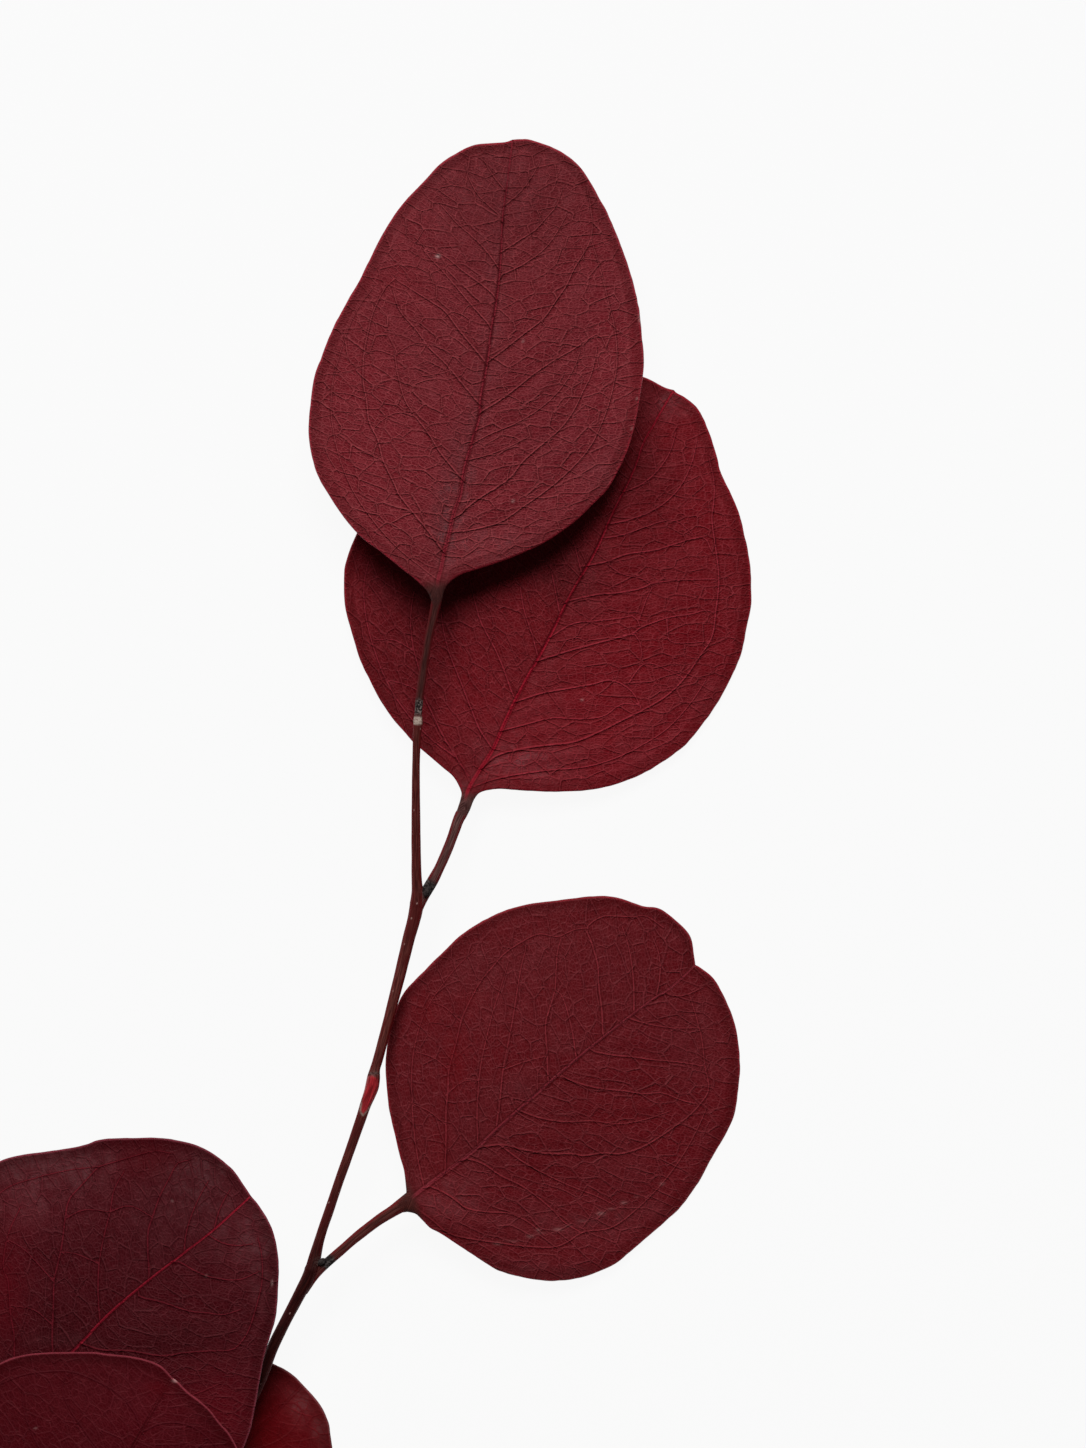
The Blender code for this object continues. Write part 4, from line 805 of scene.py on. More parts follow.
    # the top must face up
    q = verts[quads[(stalk_rows + rows // 2) * n + len(cols) // 2]]
    if np.cross(q[1] - q[0], q[2] - q[0])[2] < 0:
        quads, caps = quads[:, ::-1], caps[:, ::-1]
    verts = verts + SHIFT
    # ---- flat layout for the baked maps: top half of the sheet upper side, the rest lower side
    lo, hi = verts[:, :2].min(0), verts[:, :2].max(0)
    span = (hi - lo).max()
    uvv = (verts[:, :2] - lo) / span
    is_low = np.zeros((total, n), bool)
    is_low[:, len(cols):] = True
    is_low = np.r_[is_low.ravel(), False, False]

    def uv_of(f):
        under = is_low[f].any(1)
        u = uvv[f]
        out = np.empty(u.shape)
        out[..., 0] = 0.01 + 0.47 * u[..., 0] + np.where(under, 0.5, 0)[:, None]
        out[..., 1] = 0.01 + 0.98 * u[..., 1]
        return out.reshape(-1, 2)

    ob = mesh_from(name + "_blade", verts, [quads, caps], np.vstack([uv_of(quads), uv_of(caps)]))
    mesh = ob.data

    def full(stalk_value, up_v, low_v, end_v=(0.0, 0.0)):
        """One value per vertex, from the stalk, the top grid and the lower grid."""
        s = np.broadcast_to(stalk_value, (stalk_rows, n))
        g = np.concatenate([up_v.reshape(rows, -1), low_v.reshape(rows, -1)[:, ::-1]], 1)
        return np.r_[s.ravel(), g.ravel(), end_v[0], end_v[1]]

    far_b = np.full(len(flat_b), 40.0)
    run = np.r_[0, np.cumsum(np.linalg.norm(np.diff(st[:, :2], axis=0), axis=1))] - 200
    put(mesh, "vein_s", full(40.0, vs, lvs if low_cols > 60 else far_b))
    put(mesh, "vein_u", full(40.0, vu, lvu if low_cols > 60 else far_b))
    put(mesh, "vein_w", full(1.0, vw, lvw))
    put(mesh, "net_s", full(40.0, ns, far_b))
    put(mesh, "net_u", full(40.0, nu, far_b))
    put(mesh, "net_w", full(1.0, nw, far_b * 0 + 1))
    put(mesh, "rib_s", full(40.0, ribs, lribs))
    put(mesh, "rib_t", full(0.0, ribt, lribt, (0, 1)))
    put(mesh, "rim", full(30.0, rim, lrim, (30, 0)))
    put(mesh, "sub_rim", full(30.0, sub_rim, far_b, (30, 30)))
    fx, fy = flat_t[:, 0], flat_t[:, 1]
    gx, gy = flat_b[:, 0], flat_b[:, 1]
    put(mesh, "dust", full(0.0, patches(DUST[name], fx, fy), patches(DUST[name], gx, gy) * 0.5 + 0.3))
    put(mesh, "shade_and_dark", full(0.0, patches(SHADE_AND_DARK[name], fx, fy), patches(SHADE_AND_DARK[name], gx, gy) * 0.5))
    put(mesh, "stain", full(0.0, patches(STAIN[name], fx, fy), patches(STAIN[name], gx, gy) * 0.5))
    put(mesh, "speck", full(0.0, np.clip(patches(SPECK[name], fx, fy), 0, 1), far_b * 0))
    put(mesh, "light_and_tone", full(0.0, patches(LIGHT_AND_TONE[name], fx, fy), patches(LIGHT_AND_TONE[name], gx, gy)))
    put(mesh, "blade", full(0.0, fade_t, fade_b, (0, 1)))
    # how far each point faces up; the materials paint the sheen of the overhead light on the upper side with it
    round_top = np.concatenate([np.sqrt(1 - rounds ** 2), -np.sqrt(1 - low_round[::-1] ** 2)])
    put(mesh, "topness", full(round_top[None, :], np.ones(len(flat_t)), -np.ones(len(flat_b))))
    begin = (run + 200)[:, None] * np.ones((1, n))
    put(mesh, "begin", full(begin, np.full(len(flat_t), 200.0), np.full(len(flat_b), 200.0), (0, 200)))
    # pattern space: across the stalk, then along; for the blade the leaf's own axes
    ang_s = np.concatenate([rounds, low_round[::-1]]) * 4.0
    ls = np.stack(np.broadcast_arrays(ang_s[None, :], run[:, None]), -1)
    sl = np.where(lribs < 0, -1, 1)
    al, ac = leaf_space(flat_b, sl)
    g = np.concatenate([np.stack([along, across], -1).reshape(rows, -1, 2),
                        np.stack([al, ac], -1).reshape(rows, -1, 2)[:, ::-1]], 1)
    co = np.vstack([ls.reshape(-1, 2), g.reshape(-1, 2), [[0, 0], [0, 0]]])
    put(mesh, "space", np.column_stack([co + seed * 37.0, np.zeros(len(co))]))
    return ob


# ---------------------------------------------------------------- materials
class Nodes:
    def __init__(self, name):
        self.mat = bpy.data.materials.new(name)
        self.mat.use_nodes = True
        self.tree = self.mat.node_tree
        self.bsdf = self.tree.nodes["Principled BSDF"]

    def _in(self, socket, v):
        if hasattr(v, "is_output"):
            self.tree.links.new(v, socket)
        elif isinstance(v, (tuple, list)):
            socket.default_value = tuple(v) + ((1.0,) if len(v) == 3 and len(socket.default_value) == 4 else ())
        else:
            socket.default_value = v

    def attr(self, name, what="Fac"):
        n = self.tree.nodes.new("ShaderNodeAttribute")
        n.attribute_name = name
        return n.outputs[what]

    def math(self, op, a, b=None, c=None, clamp=False):
        n = self.tree.nodes.new("ShaderNodeMath")
        n.operation, n.use_clamp = op, clamp
        for s, v in zip(n.inputs, (a, b, c)):
            if v is not None:
                self._in(s, v)
        return n.outputs[0]

    def add(self, *v):
        out = v[0]
        for w in v[1:]:
            out = self.math("ADD", out, w)
        return out

    def mul(self, *v):
        out = v[0]
        for w in v[1:]:
            out = self.math("MULTIPLY", out, w)
        return out

    def ramp(self, v, lo, hi, to0=0.0, to1=1.0, smooth=True):
        n = self.tree.nodes.new("ShaderNodeMapRange")
        n.interpolation_type = "SMOOTHSTEP" if smooth else "LINEAR"
        for s, w in zip(n.inputs[:5], (v, lo, hi, to0, to1)):
            self._in(s, w)
        return n.outputs[0]

    def noise(self, vec, scale, detail=2.0, rough=0.5, dims="2D"):
        n = self.tree.nodes.new("ShaderNodeTexNoise")
        n.noise_dimensions = dims
        self._in(n.inputs["Vector"], vec)
        n.inputs["Scale"].default_value = scale
        n.inputs["Detail"].default_value = detail
        n.inputs["Roughness"].default_value = rough
        return n.outputs["Fac"], n.outputs["Color"]

    def cells(self, vec, scale, random=1.0, feature="DISTANCE_TO_EDGE", dims="2D"):
        n = self.tree.nodes.new("ShaderNodeTexVoronoi")
        n.voronoi_dimensions, n.feature = dims, feature
        self._in(n.inputs["Vector"], vec)
        n.inputs["Scale"].default_value = scale
        n.inputs["Randomness"].default_value = random
        return n.outputs["Distance"]

    def vec(self, op, a, b=None, scale=None):
        n = self.tree.nodes.new("ShaderNodeVectorMath")
        n.operation = op
        self._in(n.inputs[0], a)
        if b is not None:
            self._in(n.inputs[1], b)
        if scale is not None:
            self._in(n.inputs["Scale"], scale)
        return n.outputs[0]

    def mix(self, f, a, b, mode="MIX"):
        n = self.tree.nodes.new("ShaderNodeMix")
        n.data_type, n.blend_type = "RGBA", mode
        n.clamp_factor = True
        self._in(n.inputs[0], f)
        self._in(n.inputs[6], a)
        self._in(n.inputs[7], b)
        return n.outputs[2]

    def bump(self, height, strength=1.0, distance=1.0):
        n = self.tree.nodes.new("ShaderNodeBump")
        n.inputs["Strength"].default_value = strength
        n.inputs["Distance"].default_value = distance
        self._in(n.inputs["Height"], height)
        return n.outputs["Normal"]

    def out(self, **kw):
        for k, v in kw.items():
            self._in(self.bsdf.inputs[k.replace("_", " ")], v)
        return self.mat


def leaf_material(name):
    skin, pale, grey, amount, ribc, rib_on, seed, _, _ = LOOK[name]
    _, small, gloss, veinc, edge = FINISH[name]
    g = Nodes(name + "_skin")
    space = g.attr("space", "Vector")
    blade = g.attr("blade")
    # warped leaf coordinates in drawing units
    _, w1 = g.noise(space, 1 / 20.0, 1.0)
    w1 = g.vec("SCALE", g.vec("SUBTRACT", w1, (0.5, 0.5, 0.5)), scale=6.0)
    warped = g.vec("ADD", space, w1)
    tall = g.vec("MULTIPLY", warped, (1.0, 1.45, 1.0))
    # veins of four sizes, as ridges 0..1
    width = g.attr("vein_w")
    vs = g.math("ABSOLUTE", g.attr("vein_s"))
    near = g.ramp(g.attr("vein_u"), 3.6, 5.0, 1, 0)
    vein = g.mul(g.ramp(vs, g.mul(width, 0.15), g.mul(width, 1.15), 1, 0), g.ramp(g.attr("vein_u"), 3.0, 4.0, 1, 0))
    ns = g.math("ABSOLUTE", g.attr("net_s"))
    nu = g.attr("net_u")
    net = g.mul(g.ramp(ns, 0.1, 1.35, 1, 0), g.ramp(nu, 2.6, 3.4, 1, 0), g.attr("net_w"))
    third_d = g.cells(tall, 1 / 9.5, 0.8)
    fade, _ = g.noise(space, 1 / 17.0, 1.0)
    third = g.mul(g.ramp(third_d, 0.01, 0.125, 1, 0), g.ramp(fade, 0.35, 0.60, 0.35, 1.0))
    fine_d = g.cells(tall, 1 / 3.9, 0.85)
    fine = g.ramp(fine_d, 0.02, 0.27, 1, 0)
    grain, _ = g.noise(g.vec("MULTIPLY", space, (0.45, 1.5, 1.0)), 1 / 3.1, 2.0, 0.6)
    broad, _ = g.noise(space, 1 / 60.0, 3.0)
    mottle, _ = g.noise(space, 1 / 14.0, 3.0, 0.6)
    rib_s = g.math("ABSOLUTE", g.attr("rib_s"))
    rib_t = g.attr("rib_t")
    rib_w = g.ramp(rib_t, 0.0, 1.0, 2.3, 1.1, smooth=False)
    rib = g.ramp(rib_s, g.mul(rib_w, 0.40), g.mul(rib_w, 1.10), 1, 0)
    rim = g.attr("rim")
    grain0 = g.math("SUBTRACT", grain, 0.5)
    mottle0 = g.math("SUBTRACT", mottle, 0.5)
    # colour: skin, then bloom, then the net, the veins and the midrib
    cover = g.add(amount, g.mul(g.attr("dust"), g.ramp(mottle, 0.25, 0.75, 0.45, 1.35)), g.mul(g.math("SUBTRACT", broad, 0.5), 0.35), g.mul(mottle0, 0.30), g.mul(grain0, 0.2))
    cover = g.math("ADD", g.mul(cover, g.ramp(rim, 0.8, 3.0, 0.1, 1.0)), 0.0, clamp=True)
    base = g.mix(cover, skin, grey)
    # darker skin colour, used for painted shade and for darker patches of the leaf's own colour
    deep = tuple(c * k for c, k in zip(skin, (0.52, 0.35, 0.35)))
    # painted shade and darker patches of the leaf's own colour, mixed towards the deep colour
    base = g.mix(g.math("MULTIPLY", g.attr("shade_and_dark"), 0.9, clamp=True), base, deep)
    # brightness: random grain and mottle, plus the listed tone patches, which hold painted light and shade as well as
    # the leaf's own tone
    lift = g.math("ADD", 1.0, g.add(g.mul(grain0, 0.60), g.mul(mottle0, 0.34), g.attr("light_and_tone")))
    base = g.mix(g.add(g.mul(fine, 0.34), g.mul(third, 0.55)), base, pale)
    base = g.mix(g.mul(net, 0.85), base, pale)
    base = g.mix(g.mul(vein, 0.9), base, veinc)
    # shade either side of the raised veins and inside the margin
    valley = g.mul(g.ramp(vs, g.mul(width, 1.0), g.mul(width, 2.4), 1, 0), g.math("SUBTRACT", 1.0, vein), near)
    hollow = g.mul(g.ramp(ns, 1.2, 2.6, 1, 0), g.math("SUBTRACT", 1.0, net), g.ramp(nu, 3.4, 4.5, 1, 0), g.attr("net_w"))
    base = g.mix(g.add(g.mul(valley, 0.38 * min(1.0, small)), g.mul(hollow, 0.36 * min(1.0, small))), base, deep)
    inner = g.mul(g.ramp(rim, 1.6, 3.4, 0, 1), g.ramp(rim, 6.0, 15.0, 1, 0))
    second = g.ramp(g.math("ABSOLUTE", g.attr("sub_rim")), 0.3, 1.9, 1, 0)
    base = g.mix(g.mul(inner, 0.40), base, deep)
    base = g.mix(g.mul(second, 0.45 * LOOK[name][8]), base, pale)
    # painted shade along both sides of the raised midrib
    beside = g.mul(g.ramp(rib_s, rib_w, g.mul(rib_w, 2.0), 1, 0), g.math("SUBTRACT", 1.0, rib))
    base = g.mix(g.mul(beside, 0.70), base, deep)
    base = g.mix(g.mul(rib, rib_on), base, ribc)
    clean = tuple(min(1.0, c * k) for c, k in zip(skin, (1.30, 0.8, 0.9)))
    base = g.mix(g.mul(g.attr("stain"), 0.7), base, clean)
    # margin line: the margin's own paler colour together with a painted highlight where the edge catches the light
    base = g.mix(g.mul(g.ramp(rim, 0.9, 2.3, 1, 0), 0.85), base, edge)
    base = g.mix(g.attr("speck"), base, (0.42, 0.24, 0.23))
    base = g.vec("SCALE", base, scale=lift)
    # stalk colours: brown upper side, partly a painted sheen of the overhead light, with redder flanks
    streak, _ = g.noise(g.vec("MULTIPLY", space, (1.6, 0.05, 1.0)), 1.0, 3.0, 0.6)
    painted_sheen = g.ramp(g.add(g.attr("topness"), g.mul(g.math("SUBTRACT", streak, 0.5), 0.5)), 0.55, 0.98)
    dim, lit, flank = STALK[name]
    stalk = g.mix(g.ramp(streak, 0.35, 0.65), dim, lit)
    stalk = g.mix(painted_sheen, flank, stalk)
    centre_at, reach = WORN[name]
    worn = g.ramp(g.math("ABSOLUTE", g.math("SUBTRACT", g.attr("begin"), centre_at)), reach * 0.5, reach * 1.2, 1, 0)
    chips, _ = g.noise(space, 1 / 2.6, 3.0, 0.6)
    stalk = g.mix(g.mul(worn, g.ramp(chips, 0.46, 0.66)), g.mix(worn, stalk, (0.012, 0.008, 0.008)), WORN_LIGHT[name])
    colour = g.mix(g.ramp(blade, 0.02, 0.40), stalk, base)
    # relief in metres
    height = g.add(g.mul(vein, width, 0.085), g.mul(net, 0.100), g.mul(third, 0.052), g.mul(fine, 0.022),
                   g.mul(grain0, 0.036), g.mul(mottle0, 0.05))
    height = g.mul(height, small)
    height = g.mul(height, blade)
    height = g.add(height, g.mul(g.math("SUBTRACT", streak, 0.5), g.math("SUBTRACT", 1.0, blade), 0.06))
    normal = g.bump(g.mul(height, 0.001))
    shine = g.ramp(mottle, 0.3, 0.7, 0.60, 0.50)
    return g.out(Base_Color=colour, Roughness=shine, Normal=normal, Specular_IOR_Level=gloss)


def stem_material():
    g = Nodes("stem_bark")
    space = g.attr("space", "Vector")     # round, along, in drawing units
    long = g.vec("MULTIPLY", space, (1.0, 0.05, 1.0))
    streak, _ = g.noise(long, 0.9, 3.0, 0.6)
    broad, _ = g.noise(space, 1 / 34.0, 2.0)
    chips, _ = g.noise(space, 1 / 2.4, 3.0, 0.6)
    # painted sheen: the upper side takes the browner, greyer bark colours as the overhead light shows them, the flanks
    # keep a deep red
    painted_sheen = g.ramp(g.add(g.attr("topness"), g.mul(g.math("SUBTRACT", streak, 0.5), 0.6)), 0.45, 0.98)
    young = g.mix(g.ramp(streak, 0.35, 0.65), (0.020, 0.0020, 0.0020), (0.072, 0.0085, 0.0070))
    weathered = g.mix(g.ramp(streak, 0.35, 0.65), (0.048, 0.0085, 0.0070), (0.155, 0.0390, 0.0310))
    bark = g.mix(g.attr("weathered"), young, weathered)
    bark = g.mix(g.mul(g.ramp(broad, 0.45, 0.66), 0.6), bark, (0.070, 0.0070, 0.0070))
    base = g.vec("SCALE", g.mix(painted_sheen, (0.125, 0.0042, 0.0050), bark), scale=g.attr("shade"))
    spots = g.cells(g.vec("MULTIPLY", space, (1.0, 0.6, 1.0)), 1 / 15.0, feature="F1")
    spot = g.mul(g.ramp(spots, 0.030, 0.060, 1, 0), g.ramp(broad, 0.40, 0.60))
    base = g.mix(g.mul(spot, 0.8), base, (0.30, 0.17, 0.15))
    base = g.mix(g.attr("scar"), base, g.mix(g.ramp(streak, 0.38, 0.64), (0.17, 0.005, 0.008), (0.43, 0.022, 0.030)))
    base = g.mix(g.mul(g.attr("pale"), g.ramp(chips, 0.30, 0.52, 0.25, 1.0)), base, (0.46, 0.36, 0.30))
    base = g.mix(g.attr("grey"), base, g.mix(g.ramp(chips, 0.40, 0.60), (0.016, 0.009, 0.009), (0.130, 0.090, 0.080)))
    height = g.add(g.mul(g.math("SUBTRACT", streak, 0.5), 0.09), g.mul(spot, 0.03), g.mul(g.math("SUBTRACT", chips, 0.5), g.attr("grey"), 0.12))
    rough = g.ramp(g.attr("scar"), 0, 1, 0.50, 0.32)
    gloss = g.ramp(g.attr("scar"), 0, 1, 0.07, 0.35)
    return g.out(Base_Color=base, Roughness=rough, Normal=g.bump(g.mul(height, 0.001)), Specular_IOR_Level=gloss)


def bud_material():
    g = Nodes("bud_scale")
    geo = g.tree.nodes.new("ShaderNodeTexCoord")
    n, _ = g.noise(geo.outputs["Object"], 2600.0, 3.0, 0.6, dims="3D")
    base = g.mix(g.ramp(n, 0.36, 0.70), (0.014, 0.009, 0.009), (0.052, 0.040, 0.037))
    return g.out(Base_Color=base, Roughness=0.7, Normal=g.bump(g.mul(n, 0.00006)), Specular_IOR_Level=0.15)


# ---------------------------------------------------------------- stem
def make_stem(rows, sides):
    s = smooth(STEM, np.linspace(0, 1, rows))
    path = to_metres(s[:, 0], s[:, 1], s[:, 2])
    _, side, up = sweep(path)
    run = np.r_[0, np.cumsum(np.linalg.norm(np.diff(s[:, :2], axis=0), axis=1))]
    ang = np.linspace(0, 2 * math.pi, sides, endpoint=False)
    circ = np.stack([np.cos(ang), np.sin(ang)], -1)
    # noise that meets itself round the stem
    A, R = np.meshgrid(ang, run)
    cx, cy = np.cos(A) * 6, np.sin(A) * 6
    bumps = 0.030 * noise2(cx * 3 + R * 0.02, cy * 3 + R * 0.05, 71, 5) + 0.022 * noise2(cx + R * 0.12, cy + R * 0.30, 72, 4)
    rad = s[:, 3][:, None] * (1 + bumps)
    # the leaf scar: a ledge above a shallow tapering hollow, facing up and a little left
    y = s[:, 1][:, None]
    face = np.exp(-((np.arctan2(np.sin(A - 1.9), np.cos(A - 1.9))) / 0.75) ** 2)
    ledge = 0.20 * np.exp(-((y - 1077) / 3.0) ** 2) * face
    hollow = -0.14 * np.exp(-((y - 1094) / 11.0) ** 2) * np.exp(-((np.arctan2(np.sin(A - 1.5), np.cos(A - 1.5))) / 0.5) ** 2)
    in_frame = (s[:, 0] > 200)[:, None]
    rad = rad + (ledge + hollow) * in_frame
    ring_y = (0.05 * np.exp(-((y - 721) / 2.2) ** 2) - 0.05 * np.exp(-((y - 714) / 1.6) ** 2)
              + 0.04 * np.exp(-((y - 903) / 2.5) ** 2) + 0.05 * np.exp(-((y - 1270) / 2.0) ** 2)) * in_frame
    rad = (rad + ring_y) * MM
    verts = path[:, None] + rad[:, :, None] * (circ[None, :, 0:1] * side[:, None] + circ[None, :, 1:2] * up[:, None])
    n = sides
    i, j = np.meshgrid(np.arange(rows - 1), np.arange(n), indexing="ij")
    k = (j + 1) % n
    quads = np.stack([i * n + j, (i + 1) * n + j, (i + 1) * n + k, i * n + k], -1).reshape(-1, 4)
    flat = verts.reshape(-1, 3)
    tip0 = path[0] + (path[0] - path[1]) * 0.2
    flat = np.vstack([flat, [tip0, path[-1]]])
    c0, c1 = len(flat) - 2, len(flat) - 1
    jj = np.arange(n)
    kk = (jj + 1) % n
    caps = np.vstack([np.stack([np.full(n, c0), jj, kk], -1),
                      np.stack([np.full(n, c1), (rows - 1) * n + kk, (rows - 1) * n + jj], -1)])
    q = flat[quads[0]]
    outward = q.mean(0) - path[0]
    if np.dot(np.cross(q[1] - q[0], q[2] - q[0]), outward) < 0:
        quads, caps = quads[:, ::-1], caps[:, ::-1]
    flat = flat + SHIFT
    # layout: the length is cut into strips laid side by side
    strips = 14
    per = (rows - 1) / strips
    uv = np.empty((len(quads) + len(caps), 4, 2))
    qi, qj = i.ravel(), j.ravel()
    strip = np.floor(qi / per)
    corner_i = np.stack([qi, qi + 1, qi + 1, qi], -1)
    corner_j = np.stack([qj, qj, qj + 1, qj + 1], -1)
    if quads[0][0] != 0:
        corner_i, corner_j = corner_i[:, ::-1], corner_j[:, ::-1]
    u = (strip[:, None] + 0.03 + 0.94 * corner_j / n) / strips
    v = 0.04 + 0.92 * (corner_i - strip[:, None] * per) / (per + 1)
    quv = np.stack([u, v], -1).reshape(-1, 2)
    cap_uv = np.zeros((len(caps), 3, 2))
    for c, (cx0, cy0) in enumerate(((0.01, 0.985), (0.03, 0.985))):
        for m in range(n):
            t0, t1 = ang[m], ang[(m + 1) % n]
            tri = [(cx0, cy0), (cx0 + 0.008 * math.cos(t0), cy0 + 0.008 * math.sin(t0)),
                   (cx0 + 0.008 * math.cos(t1), cy0 + 0.008 * math.sin(t1))]
            cap_uv[c * n + m] = tri
    ob = mesh_from("stem_wood", flat, [quads, caps], np.vstack([quv, cap_uv.reshape(-1, 2)]))
    mesh = ob.data
    sp = np.stack([A * 5.5, R], -1).reshape(-1, 2)
    sp = np.vstack([sp, [[0, 0], [0, run[-1]]]])
    put(mesh, "space", np.column_stack([sp, np.zeros(len(sp))]))
    Y = np.broadcast_to(y, A.shape)
    seen = (flat[:-2] - SHIFT).reshape(rows, n, 3)
    sx = AXIS_X + seen[:, :, 0] / UNIT / (1 - seen[:, :, 2] / EYE)
    sy = AXIS_Y - seen[:, :, 1] / UNIT / (1 - seen[:, :, 2] / EYE)
    top = np.clip((np.sin(A) + 0.15) / 0.3, 0, 1)
    scar_in = inside(sx, sy, [(366.5, 1076.5), (372, 1075.5), (378, 1079), (379.5, 1085), (377, 1094), (371.5, 1103), (366.5, 1111),
                              (363, 1114.5), (360.8, 1111), (362.5, 1099), (364.5, 1087)])
    scar = np.clip((scar_in + 0.6) / 1.6, 0, 1) * top * in_frame
    scar_rim = np.exp(-((scar_in + 0.7) / 0.8) ** 2) * np.clip((Y - 1100) / 6, 0, 1) * top * in_frame
    block = inside(sx, sy, [(413.2, 717.2), (421.6, 716.6), (421.9, 724.2), (413.4, 724.4)])
    pale = np.clip((block + 0.8) / 1.4, 0, 1) * top * in_frame + 0.5 * scar_rim
    cut = np.exp(-(run[-1] - R) / 1.2) * 0.2
    axil = 0.9 * np.exp(-((sx - 426.5) / 4.5) ** 2 - ((sy - 889) / 6.0) ** 2) + 0.9 * np.exp(-((sx - 321) / 5.0) ** 2 - ((sy - 1263) / 4.5) ** 2)
    grey = (0.9 * np.exp(-((Y - 713) / 3.0) ** 2) + 0.8 * np.exp(-((sy - 1073.5) / 1.4) ** 2) * top + axil) * in_frame
    # how far each point faces up, for the painted sheen on the upper side
    put(mesh, "topness", np.r_[np.sin(A).ravel(), 0, 0])
    age = np.interp(s[:, 1], [715, 740, 930, 960, 1050, 1075, 1120, 1160, 1240, 1275], [0.9, 0.5, 0.35, 0.85, 0.95, 0.6, 0.7, 0.45, 0.35, 0.05])
    shade = np.interp(s[:, 1], [715, 740, 780, 900, 1220, 1270], [0.9, 0.9, 1.0, 1.0, 0.85, 0.42])
    put(mesh, "shade", np.r_[np.broadcast_to(shade[:, None], A.shape).ravel(), 1.0, 1.0])
    put(mesh, "weathered", np.r_[np.broadcast_to(age[:, None], A.shape).ravel(), 0.5, 0.5])
    put(mesh, "scar", np.r_[scar.ravel(), 0, 0])
    put(mesh, "pale", np.r_[np.clip(pale + cut, 0, 1).ravel(), 0.1, 1.0])
    put(mesh, "grey", np.r_[np.clip(grey, 0, 1).ravel(), 0.8, 0])
    return ob


def make_bud(name, row):
    px, py, z, ln, wd, dp, heading = row
    c = to_metres(px, py, z) + SHIFT
    a = math.radians(heading)
    t = np.array([math.cos(a), math.sin(a), 0.0])
    s = np.array([math.sin(a), -math.cos(a), 0.0])
    u = np.array([0.0, 0.0, 1.0])
    rows, n = 40, 40
    ang = np.linspace(0, 2 * math.pi, n, endpoint=False)
    loops = []
    for k in range(1, rows):
        f = math.pi * k / rows
        along, r = -math.cos(f), math.sin(f) ** 0.9
        r *= 1 - 0.28 * max(0.0, along) ** 2
        wave = 1 + 0.05 * np.cos(ang * 3 + along * 2.2) + 0.03 * noise2(np.cos(ang) * 9, np.sin(ang) * 9 + k * 0.6, 90, 3)
        loops.append(c + t * along * ln * MM + (r * MM * wave)[:, None] * (np.cos(ang)[:, None] * s * wd
                                                                         + np.sin(ang)[:, None] * u * dp))
    v = np.vstack(loops + [(c - t * ln * MM)[None], (c + t * ln * MM)[None]])
    m = rows - 1
    i, j = np.meshgrid(np.arange(m - 1), np.arange(n), indexing="ij")
    k = (j + 1) % n
    quads = np.stack([i * n + j, i * n + k, (i + 1) * n + k, (i + 1) * n + j], -1).reshape(-1, 4)
    jj = np.arange(n)
    kk = (jj + 1) % n
    caps = np.vstack([np.stack([np.full(n, m * n), kk, jj], -1), np.stack([np.full(n, m * n + 1), (m - 1) * n + jj, (m - 1) * n + kk], -1)])
    q = v[quads[0]]
    if np.dot(np.cross(q[1] - q[0], q[2] - q[0]), q.mean(0) - c) < 0:
        quads, caps = quads[:, ::-1], caps[:, ::-1]
    return mesh_from(name + "_scale", v, [quads, caps])


BUDS = {
    "axil_bud_1": (427.0, 891.0, 8.20, 0.80, 0.42, 0.36, 62),
    "axil_bud_2": (321.5, 1261.5, 8.85, 0.62, 0.42, 0.36, 42),
}
#            rows, columns per half, lower columns, stalk rows
DENSITY = {"leaf_1": (270, 128, 26, 30), "leaf_2": (270, 128, 26, 30), "leaf_3": (265, 128, 26, 34),
           "leaf_4": (260, 128, 26, 26), "leaf_5": (200, 100, 24, 26), "leaf_6": (160, 80, 24, 26)}

for leaf in LEAVES:
    ob = make_leaf(leaf, *DENSITY[leaf])
    ob.data.materials.append(leaf_material(leaf))
    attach(ob, "root")
    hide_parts(leaf)

stem = make_stem(1000, 36)
stem.data.materials.append(stem_material())
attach(stem, "root")
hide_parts("main_stem")

bud_mat = bud_material()
for bud, row in BUDS.items():
    ob = make_bud(bud, row)
    ob.data.materials.append(bud_mat)
    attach(ob, "root")
    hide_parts(bud)

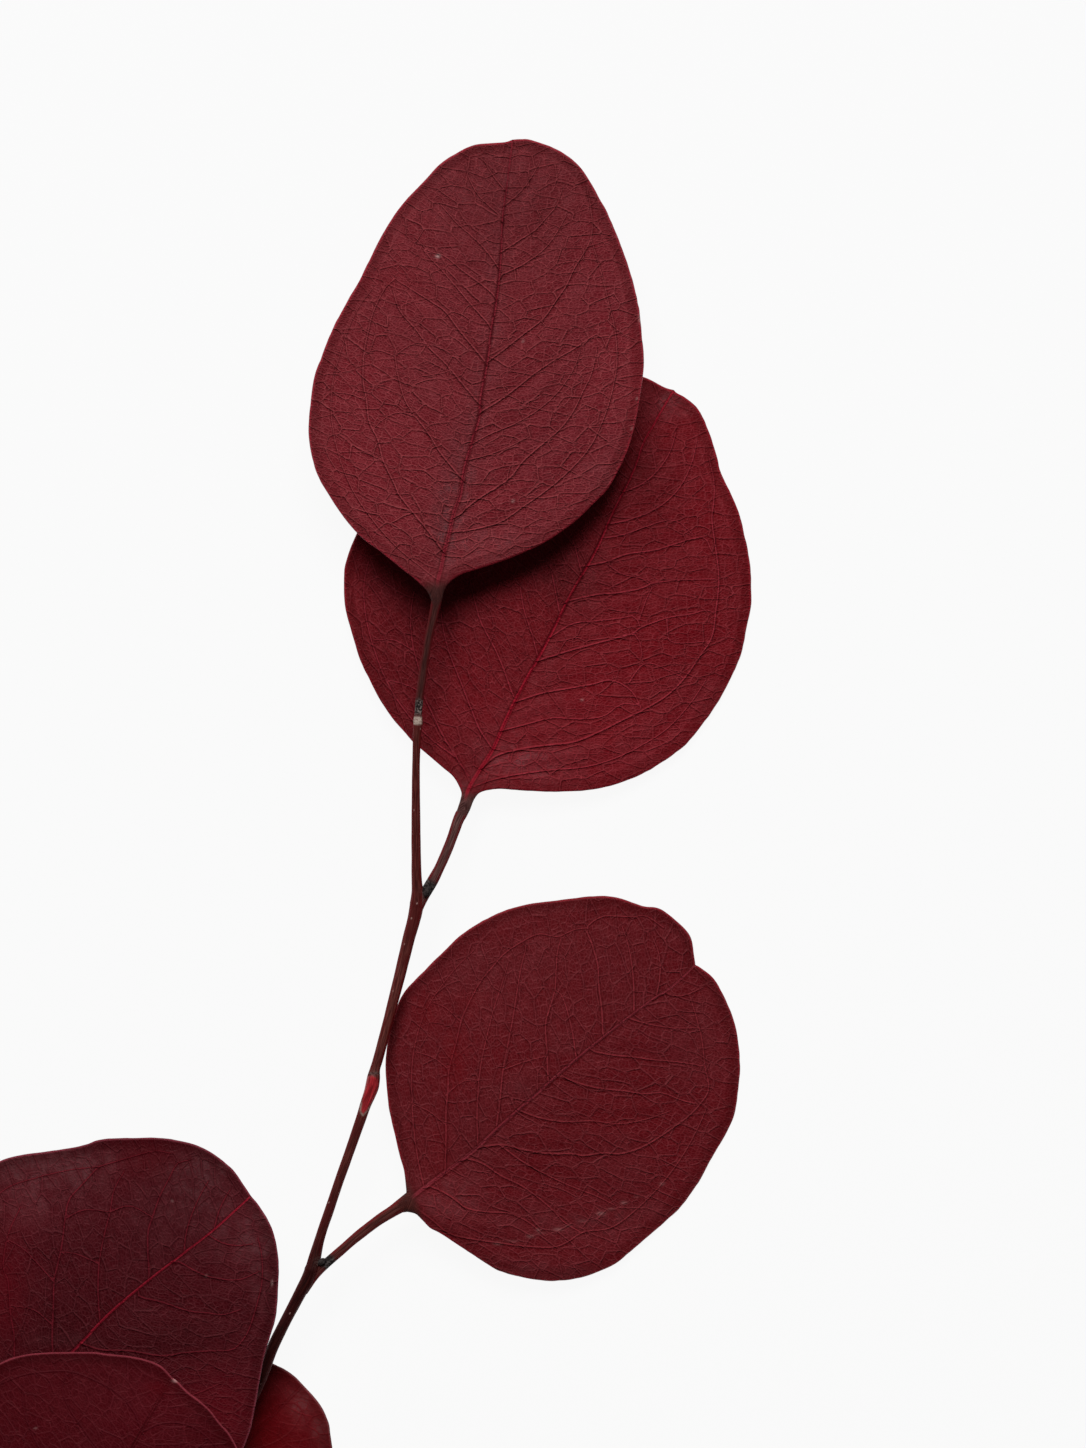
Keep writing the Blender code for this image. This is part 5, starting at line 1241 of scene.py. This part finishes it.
# ---------------------------------------------------------------- stage
fmesh = bpy.data.meshes.new("surface")
fmesh.from_pydata([(-2, -2, -0.00003), (2, -2, -0.00003), (2, 2, -0.00003), (-2, 2, -0.00003)], [], [(0, 1, 2, 3)])
floor = bpy.data.objects.new("surface", fmesh)
bpy.context.scene.collection.objects.link(floor)
fm = bpy.data.materials.new("white_surface")
fm.use_nodes = True
fb = fm.node_tree.nodes["Principled BSDF"]
fb.inputs["Base Color"].default_value = (0.03, 0.03, 0.03, 1)
fb.inputs["Roughness"].default_value = 0.9
fb.inputs["Specular IOR Level"].default_value = 0.0
fb.inputs["Emission Color"].default_value = (1.0, 1.0, 1.0, 1)
fb.inputs["Emission Strength"].default_value = 0.93
fmesh.materials.append(fm)
floor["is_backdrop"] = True

world = bpy.data.worlds.new("studio")
bpy.context.scene.world = world
world.use_nodes = True
world.node_tree.nodes["Background"].inputs["Color"].default_value = (1, 1, 1, 1)
world.node_tree.nodes["Background"].inputs["Strength"].default_value = 0.06

centre = np.array([0.0, 0.0, 0.0]) + SHIFT


def area(name, place, aim, size_x, size_y, power):
    light = bpy.data.lights.new(name, "AREA")
    light.shape = "RECTANGLE"
    light.size, light.size_y = size_x, size_y
    light.energy = power
    ob = bpy.data.objects.new(name, light)
    bpy.context.scene.collection.objects.link(ob)
    from mathutils import Vector
    ob.location = Vector(place)
    ob.rotation_euler = (Vector(aim) - Vector(place)).to_track_quat("-Z", "Y").to_euler()
    return ob


area("key", (centre[0] - 0.08, centre[1] + 0.72, 1.00), (centre[0], centre[1] - 0.02, 0.0), 0.80, 0.50, 16.2)

cam = bpy.data.cameras.new("camera")
cam.lens = 135.0
cam.sensor_width = 36.0
cam.sensor_fit = "AUTO"
cam.clip_start, cam.clip_end = 0.01, 20.0
cam.dof.use_dof = False
eye = bpy.data.objects.new("camera", cam)
bpy.context.scene.collection.objects.link(eye)
eye.location = (SHIFT[0], SHIFT[1], SHIFT[2] + EYE)
eye.rotation_euler = (0, 0, 0)
bpy.context.scene.camera = eye

bpy.context.scene.view_settings.view_transform = "Standard"
bpy.context.scene.view_settings.look = "None"
bpy.context.scene.view_settings.exposure = 0.0
bpy.context.scene.view_settings.gamma = 1.0

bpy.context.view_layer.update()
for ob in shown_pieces():
    tris = sum(len(p.vertices) - 2 for p in ob.data.polygons)
    print(ob.name, tris, "tris")
